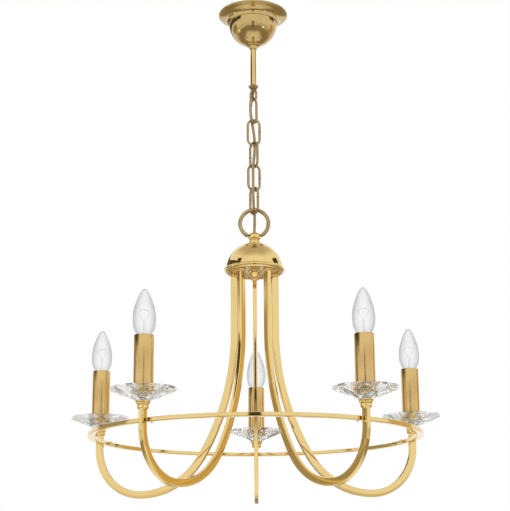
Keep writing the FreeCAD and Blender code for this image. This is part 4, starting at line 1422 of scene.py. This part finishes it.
@dataclass
class Lamps:
    """The candle lamps: blown glass, screw cap, mount, leads and coiled filament."""

    candle_radius: float = CANDLE_RADIUS
    tip: float = -550.8
    length: float = 100.0
    cap_length: float = 23.0
    wall: float = 0.55
    coil_half: float = 7.4
    coil_low: float = 39.4
    coil_rise: float = 5.6
    coil_radius: float = 0.42
    coil_turns: int = 34
    coil_spans: int = 419
    outline: tuple[Point2, ...] = (
        (0.0, 0.0), (1.4, -0.25), (2.7, -0.95), (5.2, -3.8), (8.4, -9.6), (12.6, -20.5), (15.7, -31.0),
        (17.2, -40.5), (17.5, -48.0), (16.7, -57.0), (14.6, -63.5), (11.2, -70.0), (8.4, -77.0))

    def place(self, index: int) -> Matrix:
        """Where lamp number index stands."""
        return arm_place(index) @ Matrix.Translation((self.candle_radius, 0, 0))

    def glass(self, index: int) -> None:
        """Blows one bulb.

        Args:
            index: the lamp's number, from 0.
        """
        outer = [(max(r, 0.0), self.tip + z) for r, z in smooth_line(self.outline, 7)]
        inner = [(max(r - self.wall, 0.0), z - self.wall * (1 - min(r / 6.0, 1.0))) for r, z in outer]
        keep = [p for p in inner if p[0] > 0.2]
        outline = outer + keep[::-1] + [(0.0, self.tip - self.wall)]
        add_piece(f"lamp_glass_{index + 1}_blown", *lathe_mesh(outline, 96, self.place(index)),
                          Slot.GLASS, f"lamp_{index + 1}", f"lamp_glass_{index + 1}")

    def cap(self, index: int) -> None:
        """Rolls the screw cap with its thread and contact.

        Args:
            index: the lamp's number, from 0.
        """
        top, low = self.tip - self.length + self.cap_length, self.tip - self.length
        collar = rounded([(0, top), (8.4, top), (8.4, top - 1.2), (6.8, top - 2.0), (6.6, top - 2.6)], 0.3, 3,
                         False)
        thread = [(6.75 + 0.32 * math.cos(2 * math.pi * k / 8), top - 2.8 - 2.75 * k / 8) for k in range(48)]
        foot = [(6.3, low + 3.0), (5.6, low + 2.2), (3.4, low + 1.3), (2.6, low + 0.9), (2.4, low + 0.2),
                (1.8, low), (0, low)]
        add_piece(f"lamp_cap_{index + 1}_rolled",
                          *lathe_mesh(collar + thread + foot, 48, self.place(index)), Slot.CAP,
                          f"lamp_{index + 1}", f"lamp_cap_{index + 1}")

    def inside(self, index: int) -> None:
        """Makes the glass mount, the leads and the filament of one lamp.

        Args:
            index: the lamp's number, from 0.
        """
        top, body = self.tip - self.length + self.cap_length, f"lamp_{index + 1}"
        mount = smooth_line([(4.6, top + 0.2), (3.0, top + 5), (2.2, top + 10), (1.7, top + 18),
                             (1.9, top + 25), (1.5, top + 26.4), (0.4, top + 26.9)], 4)
        add_piece(f"lamp_mount_{index + 1}", *lathe_mesh([(0, top + 0.2)] + mount + [(0, top + 26.9)], 24,
                                                          self.place(index)),
                  Slot.GLASS, body, finish=MOUNT_GLASS)
        wires, turns = [], self.place(index) @ turn_z(-FIRST_ARM - ARM_STEP * index)
        for side in (-1, 1):
            lead = [Vector((side * 0.9, 0, top + 2)), Vector((side * 1.0, 0, top + 26)),
                    Vector((side * 4.0, 0, top + 33)),
                    Vector((side * self.coil_half, 0, top + self.coil_low))]
            wires.append(sweep_mesh(line_stations([turns @ p for p in lead]), circle(0.22, 8)))
        support = [Vector((0, 0, top + 26)), Vector((0, 0.3, top + 36)), Vector((0, 0, top + 45.2))]
        wires.append(sweep_mesh(line_stations([turns @ p for p in support]), circle(0.14, 6)))
        coil = []
        for k in range(self.coil_spans + 1):
            t = k / self.coil_spans
            a = math.pi * (1 - t)
            at = Vector((self.coil_half * math.cos(a), 0, top + self.coil_low + self.coil_rise * math.sin(a)))
            twist = 2 * math.pi * self.coil_turns * t
            coil.append(turns @ (at + Vector((0, math.cos(twist), math.sin(twist))) * self.coil_radius))
        wires.append(sweep_mesh(line_stations(coil), circle(0.1, 6)))
        add_piece(f"lamp_filament_{index + 1}", *join_meshes(wires), Slot.CAP, body, finish=FILAMENT)

    def build(self) -> None:
        """Makes the lamps."""
        for index in range(ARM_COUNT):
            self.glass(index)
            self.cap(index)
            self.inside(index)
        LOG.info("lamps: %d with caps, mounts and filaments", ARM_COUNT)


# ---- dressing the carried-over nodes --------------------------------------------------------------------


def dress_nodes() -> None:
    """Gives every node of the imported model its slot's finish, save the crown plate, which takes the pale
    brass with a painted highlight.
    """
    slots = {s["node"]: s["material_slot"] for s in frame["record"]["subparts"]}
    for name, node in frame["nodes"].items():
        # The crown plate takes the pale brass with a painted highlight instead of its slot's finish.
        finish = (PLATE_HIGHLIGHT_BRASS if name == "crown_plate" else FINISHES[Slot(slots[name])]).material()
        node.data.materials.clear()
        node.data.materials.append(finish)
    LOG.info("dressed %d carried-over nodes", len(frame["nodes"]))


# ---- studio ---------------------------------------------------------------------------------------------


@dataclass(frozen=True)
class Card:
    """A soft-edged card of the studio that only reflections and glass see."""

    name: str
    bearing: float
    height: float
    distance: float
    width: float
    tall: float
    level: float
    tint: Colour = (1.0, 1.0, 1.0)
    soft: float = 0.18
    through: bool = False

    def build(self, centre: Vector) -> None:
        """Sets the card up, facing the centre.

        Args:
            centre: the point it faces.
        """
        b, e = math.radians(self.bearing), math.radians(self.height)
        out = Vector((math.sin(b) * math.cos(e), -math.cos(b) * math.cos(e), math.sin(e)))
        mesh = bpy.data.meshes.new(self.name)
        w, t = self.width / 2, self.tall / 2
        mesh.from_pydata([(-w, -t, 0), (w, -t, 0), (w, t, 0), (-w, t, 0)], [], [(0, 1, 2, 3)])
        card = bpy.data.objects.new(self.name, mesh)
        bpy.context.scene.collection.objects.link(card)
        card.location = centre + out * self.distance
        card.rotation_mode = "QUATERNION"
        card.rotation_quaternion = out.to_track_quat("Z", "Y")
        card.visible_camera = card.visible_diffuse = card.visible_shadow = False
        card.visible_transmission = self.through
        mesh.materials.append(self.material())

    def material(self) -> Material:
        """The card's own light, fading out towards its edges.

        Returns:
            The material.
        """
        material = bpy.data.materials.new(self.name)
        material.use_nodes = True
        tree = material.node_tree
        tree.nodes.clear()
        place = tree.nodes.new("ShaderNodeTexCoord")
        split = tree.nodes.new("ShaderNodeSeparateXYZ")
        tree.links.new(place.outputs["Object"], split.inputs[0])
        masks = []
        for axis, half in (("X", self.width / 2), ("Y", self.tall / 2)):
            size = tree.nodes.new("ShaderNodeMath")
            size.operation = "ABSOLUTE"
            tree.links.new(split.outputs[axis], size.inputs[0])
            fade = tree.nodes.new("ShaderNodeMapRange")
            fade.interpolation_type = "SMOOTHSTEP"
            fade.inputs["From Min"].default_value = half
            fade.inputs["From Max"].default_value = half - self.soft * 2 * half
            tree.links.new(size.outputs[0], fade.inputs["Value"])
            masks.append(fade.outputs["Result"])
        both = tree.nodes.new("ShaderNodeMath")
        both.operation = "MULTIPLY"
        tree.links.new(masks[0], both.inputs[0])
        tree.links.new(masks[1], both.inputs[1])
        glow = tree.nodes.new("ShaderNodeEmission")
        glow.inputs["Color"].default_value = (*self.tint, 1.0)
        glow.inputs["Strength"].default_value = self.level
        clear = tree.nodes.new("ShaderNodeBsdfTransparent")
        mix = tree.nodes.new("ShaderNodeMixShader")
        output = tree.nodes.new("ShaderNodeOutputMaterial")
        tree.links.new(both.outputs[0], mix.inputs[0])
        tree.links.new(clear.outputs[0], mix.inputs[1])
        tree.links.new(glow.outputs[0], mix.inputs[2])
        tree.links.new(mix.outputs[0], output.inputs["Surface"])
        return material


@dataclass
class Studio:
    """White surround, pale floor, soft lamps, reflection cards and the camera."""

    centre: Vector = field(default_factory=lambda: Vector((0.0, 0.0, -0.6)))
    floor_height: float = -1.55
    fill: float = 0.75
    floor_radius: float = 7.0
    floor_fade: Point2 = (1.2, 4.5)
    floor_colour: Colour = (0.86, 0.85, 0.835)
    lens: float = 91.05
    camera_turn: Point3 = (-0.3208, 14.935, -0.3557)
    camera_at: Point3 = (0.01263, -2.09867, -1.0008)
    softboxes: tuple[tuple[str, Point3, float, float], ...] = (
        ("left softbox", (-1.9, -1.5, -0.1), 1.3, 16.0), ("right softbox", (1.9, -1.5, -0.1), 1.3, 16.0),
        ("back softbox", (0.0, 2.3, 0.3), 1.6, 12.0))
    cards: tuple[Card, ...] = (
        Card("front wall card", 0, 27, 3.0, 4.2, 2.4, 1.05, (1.0, 0.98, 0.90), 0.2),
        Card("ceiling card", 0, 89, 1.9, 4.0, 4.0, 0.60, (1.0, 0.94, 0.80), 0.35),
        Card("left tall flag", -69, 26.5, 6.3, 2.3, 2.6, 0.08, (1.0, 0.82, 0.5), 0.12),
        Card("left wide flag", -104, 22, 6.05, 7.4, 1.7, 0.10, (1.0, 0.82, 0.5), 0.1),
        Card("left far flag", -150, 21, 6.2, 6.0, 1.6, 0.14, (1.0, 0.82, 0.5), 0.15),
        Card("right flag", 101, 27, 6.4, 3.8, 1.9, 0.07, (1.0, 0.82, 0.5), 0.15),
        Card("right gold card", 110, 5, 2.45, 1.5, 1.0, 0.72, (1.0, 0.74, 0.30), 0.15),
        Card("left gold card", -108, 5, 2.45, 1.9, 1.0, 0.42, (1.0, 0.88, 0.58), 0.15),
        Card("low front wall", 0, -13, 2.5, 2.9, 1.2, 0.92, (1.0, 0.93, 0.78), 0.12),
        Card("low left wall", -60, -14, 2.5, 2.9, 1.1, 0.90, (1.0, 0.93, 0.78), 0.12),
        Card("low right wall", 60, -14, 2.5, 2.9, 1.1, 0.75, (1.0, 0.92, 0.76), 0.12),
        Card("low far left wall", -116, -17, 2.6, 2.9, 1.0, 0.60, (1.0, 0.88, 0.70), 0.12),
        Card("low far right wall", 116, -17, 2.6, 2.9, 1.0, 0.50, (1.0, 0.88, 0.70), 0.12),
        Card("camera stand", 0, -8, 1.6, 0.26, 1.3, 0.05, (1.0, 0.85, 0.6), 0.15),
        Card("window", 58, -16, 2.3, 0.5, 0.6, 1.9, soft=0.3),
        Card("left window", -92, -14, 2.3, 0.7, 0.7, 1.5, soft=0.35),
        Card("back floor card", 180, -27, 3.1, 6.0, 1.7, 0.33, (1.0, 0.88, 0.66), 0.12),
        Card("low card", 0, -89, 0.83, 2.2, 2.2, 1.10, (1.0, 0.97, 0.90), 0.3),
        Card("low edge card", 0, -89, 0.86, 5.6, 5.6, 0.38, (1.0, 0.87, 0.64), 0.1),
        Card("foot card", 0, -27, 1.95, 2.6, 0.2, 0.05, (1.0, 0.7, 0.5), 0.3, True))

    def surround(self) -> None:
        """A world that is white behind the object, in metal and through glass, and softer as light."""
        world = bpy.data.worlds.new("white surround")
        bpy.context.scene.world = world
        world.use_nodes = True
        tree = world.node_tree
        tree.nodes.clear()
        path = tree.nodes.new("ShaderNodeLightPath")
        seen = path.outputs["Is Camera Ray"]
        for label in ("Is Glossy Ray", "Is Transmission Ray"):
            add = tree.nodes.new("ShaderNodeMath")
            add.operation = "MAXIMUM"
            tree.links.new(seen, add.inputs[0])
            tree.links.new(path.outputs[label], add.inputs[1])
            seen = add.outputs[0]
        white, light = tree.nodes.new("ShaderNodeBackground"), tree.nodes.new("ShaderNodeBackground")
        white.inputs["Color"].default_value = light.inputs["Color"].default_value = (1, 1, 1, 1)
        white.inputs["Strength"].default_value = 1.0
        light.inputs["Strength"].default_value = self.fill
        mix = tree.nodes.new("ShaderNodeMixShader")
        tree.links.new(seen, mix.inputs[0])
        tree.links.new(light.outputs[0], mix.inputs[1])
        tree.links.new(white.outputs[0], mix.inputs[2])
        tree.links.new(mix.outputs[0], tree.nodes.new("ShaderNodeOutputWorld").inputs["Surface"])

    def floor(self) -> None:
        """A pale floor that fades into the surround and keeps the object's shadow."""
        mesh = bpy.data.meshes.new("floor")
        corners = [(self.floor_radius * math.cos(math.radians(a)),
                    self.floor_radius * math.sin(math.radians(a)), 0)
                   for a in range(0, 360, 5)]
        mesh.from_pydata(corners, [], [list(range(len(corners)))])
        floor = bpy.data.objects.new("floor", mesh)
        bpy.context.scene.collection.objects.link(floor)
        floor.location = (0, 0, self.floor_height)
        material, tree, shader = start_material("pale floor")
        shader.inputs["Base Color"].default_value = (*self.floor_colour, 1)
        shader.inputs["Roughness"].default_value = 0.9
        place = tree.nodes.new("ShaderNodeTexCoord")
        reach = tree.nodes.new("ShaderNodeVectorMath")
        reach.operation = "LENGTH"
        fade = tree.nodes.new("ShaderNodeMapRange")
        fade.interpolation_type = "SMOOTHSTEP"
        fade.inputs["From Min"].default_value, fade.inputs["From Max"].default_value = self.floor_fade
        clear, mix = tree.nodes.new("ShaderNodeBsdfTransparent"), tree.nodes.new("ShaderNodeMixShader")
        tree.links.new(place.outputs["Object"], reach.inputs[0])
        tree.links.new(reach.outputs["Value"], fade.inputs["Value"])
        tree.links.new(fade.outputs["Result"], mix.inputs[0])
        tree.links.new(shader.outputs[0], mix.inputs[1])
        tree.links.new(clear.outputs[0], mix.inputs[2])
        output = [n for n in tree.nodes if n.type == "OUTPUT_MATERIAL"][0]
        tree.links.new(mix.outputs[0], output.inputs["Surface"])
        mesh.materials.append(material)

    def lamps(self) -> None:
        """Three soft lamps at a plain level."""
        for name, at, size, power in self.softboxes:
            data = bpy.data.lights.new(name, "AREA")
            data.shape, data.size, data.energy = "SQUARE", size, power
            lamp = bpy.data.objects.new(name, data)
            bpy.context.scene.collection.objects.link(lamp)
            lamp.location = at
            lamp.rotation_mode = "QUATERNION"
            lamp.rotation_quaternion = (Vector(at) - self.centre).to_track_quat("Z", "Y")
            lamp.visible_camera = lamp.visible_glossy = lamp.visible_transmission = False

    def camera(self) -> None:
        """Stands the camera in front and below, looking up."""
        data = bpy.data.cameras.new("camera")
        data.lens, data.sensor_width = self.lens, 36.0
        data.clip_start, data.clip_end = 0.05, 60.0
        camera = bpy.data.objects.new("camera", data)
        bpy.context.scene.collection.objects.link(camera)
        yaw, pitch, roll = (math.radians(a) for a in self.camera_turn)
        ahead = Vector((math.sin(yaw) * math.cos(pitch), math.cos(yaw) * math.cos(pitch), math.sin(pitch)))
        right = Vector((math.cos(yaw), -math.sin(yaw), 0.0))
        up = right.cross(ahead)
        right, up = right * math.cos(roll) + up * math.sin(roll), up * math.cos(roll) - right * math.sin(roll)
        turn = Matrix((right, up, -ahead)).transposed().to_4x4()
        camera.matrix_world = Matrix.Translation(self.camera_at) @ turn
        bpy.context.scene.camera = camera

    def build(self) -> None:
        """Sets the studio up."""
        self.surround()
        self.floor()
        self.lamps()
        for card in self.cards:
            card.build(self.centre)
        self.camera()
        bpy.context.scene.view_settings.view_transform = "Standard"
        LOG.info("studio: surround, floor, lamps, %d cards and camera", len(self.cards))


def main() -> None:
    """Builds the dressed chandelier and its studio."""
    logging.basicConfig(level=logging.INFO, format="%(name)s: %(message)s")
    dress_nodes()
    for assembly in (Canopy(), Stem(), Chain(), SuspensionRing(), Flex(), Crown(), Arms(), GalleryHoop(),
                     CandleFittings(), CrystalDishes(), Lamps()):
        assembly.build()
    Studio().build()


if __name__ == "__main__":
    main()
